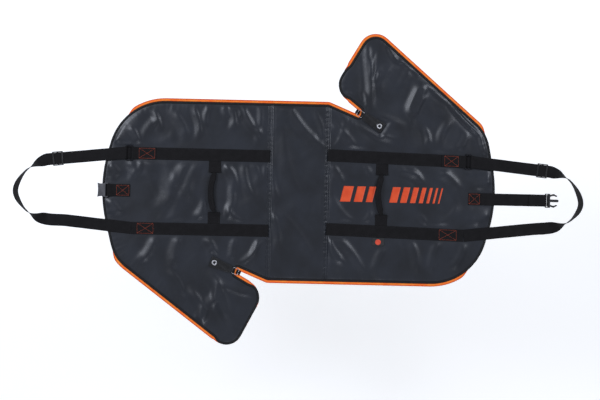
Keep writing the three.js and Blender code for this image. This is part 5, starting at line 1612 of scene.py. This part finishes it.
def woven_tab():
    """Damask-woven polyester label: black ground, satin sheen, very fine ribs."""
    made, tree, shader = new_finish("polyester_damask_label", "#17171a", 0.6, **{"Sheen Weight": 0.2})
    vector = cloth_map(tree)
    vary(tree, shader, vector, 10, "#141416", "#1e1e22", (0.52, 0.68))
    relief(tree, shader, [(weave(tree, vector, 1.0, 1.0), 0.4, 0.1)])
    return made


def dot_weave():
    """The same cloth with a red-orange thread floated to the face."""
    made, tree, shader = new_finish("polyester_damask_red", "#d2442a", 0.55, **{"Sheen Weight": 0.15})
    vector = cloth_map(tree)
    vary(tree, shader, vector, 8, "#c63d24", "#de4d31", (0.48, 0.62))
    relief(tree, shader, [(weave(tree, vector, 1.0, 1.0), 0.4, 0.1)])
    return made


def label_lift(x, y):
    """How far the label curls up at a place: nothing at its sewn edge, most at its free one."""
    return CURL * np.clip((y1 - y) / (y1 - y0), 0, 1) ** 2 * (0.6 + 0.4 * np.sin(x / 9))


def disc(x, y, radius, rings=8, spokes=32):
    """A flat disc that lies on the curled label, in rings round a small middle face."""
    angle = np.linspace(0, 2 * math.pi, spokes, endpoint=False)
    radii = np.linspace(0.2, radius, rings)[:, None]
    flat_x, flat_y = x + radii * np.cos(angle), y + radii * np.sin(angle)
    points = np.stack([flat_x, flat_y, DOT_TOP + label_lift(flat_x, flat_y)], -1).reshape(-1, 3)
    faces = [cell_faces(rings - 1, spokes, rings, spokes), np.arange(spokes)[None, ::-1]]
    a, b, c = points[faces[0][0, :3]]
    faces = [f if np.cross(b - a, c - a)[2] > 0 else f[:, ::-1] for f in faces]
    return points, faces, [points[f][..., :2] for f in faces]


low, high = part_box("label_tab")
x0, y0, x1, y1 = low.x / MM + 0.3, low.y / MM + 0.3, high.x / MM - 0.3, high.y / MM - 0.2
u, v = np.meshgrid(np.linspace(x0, x1, 21), np.linspace(y0, y1, 14), indexing="ij")
label = draped(u, v, 0.0, LABEL_THICK)
level = np.repeat([LABEL_TOP, LABEL_TOP - LABEL_THICK], u.size)
label[0][:, 2] = level + np.tile(label_lift(u, v).ravel(), 2)
piece("woven_label_tab", [(label, 0)], [woven_tab()], "right_side", ["label_tab"])
dot = disc((x0 + x1) / 2, (y0 + y1) / 2 - 1, DOT_RADIUS)
dot_piece = piece("woven_label_dot", [(dot, 0)], [dot_weave()], "right_side")
thicken(dot_piece, DOT_THICK)

# %% [markdown]
# ## Floor and size
#
# The floor is a plain pale sweep, faintly lit through, and not part of the object. It lies below the
# deepest reach of the folded sides. The last line works out the dressed model's box.

# %% Floor, sizes and finish
FLOOR_Z, FLOOR_HALF, FLOOR_GLOW = -0.92, 9e3, 0.42
glow = {"Emission Strength": FLOOR_GLOW}
floor_finish, _, _ = new_finish("matt_acrylic_lit_sweep", "#f4f5f6", 0.95, **glow)
floor_finish.node_tree.nodes["Principled BSDF"].inputs["Emission Color"].default_value = srgb("#ffffff")
corners = np.array([[-1, -1, 0], [1, -1, 0], [1, 1, 0], [-1, 1, 0]]) * FLOOR_HALF
ground = (corners, [np.array([[0, 1, 2, 3]])], [np.zeros((1, 4, 2))])
floor = piece("floor", [(ground, 0)], [floor_finish])
floor.location.z = FLOOR_Z
floor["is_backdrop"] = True

low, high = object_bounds()
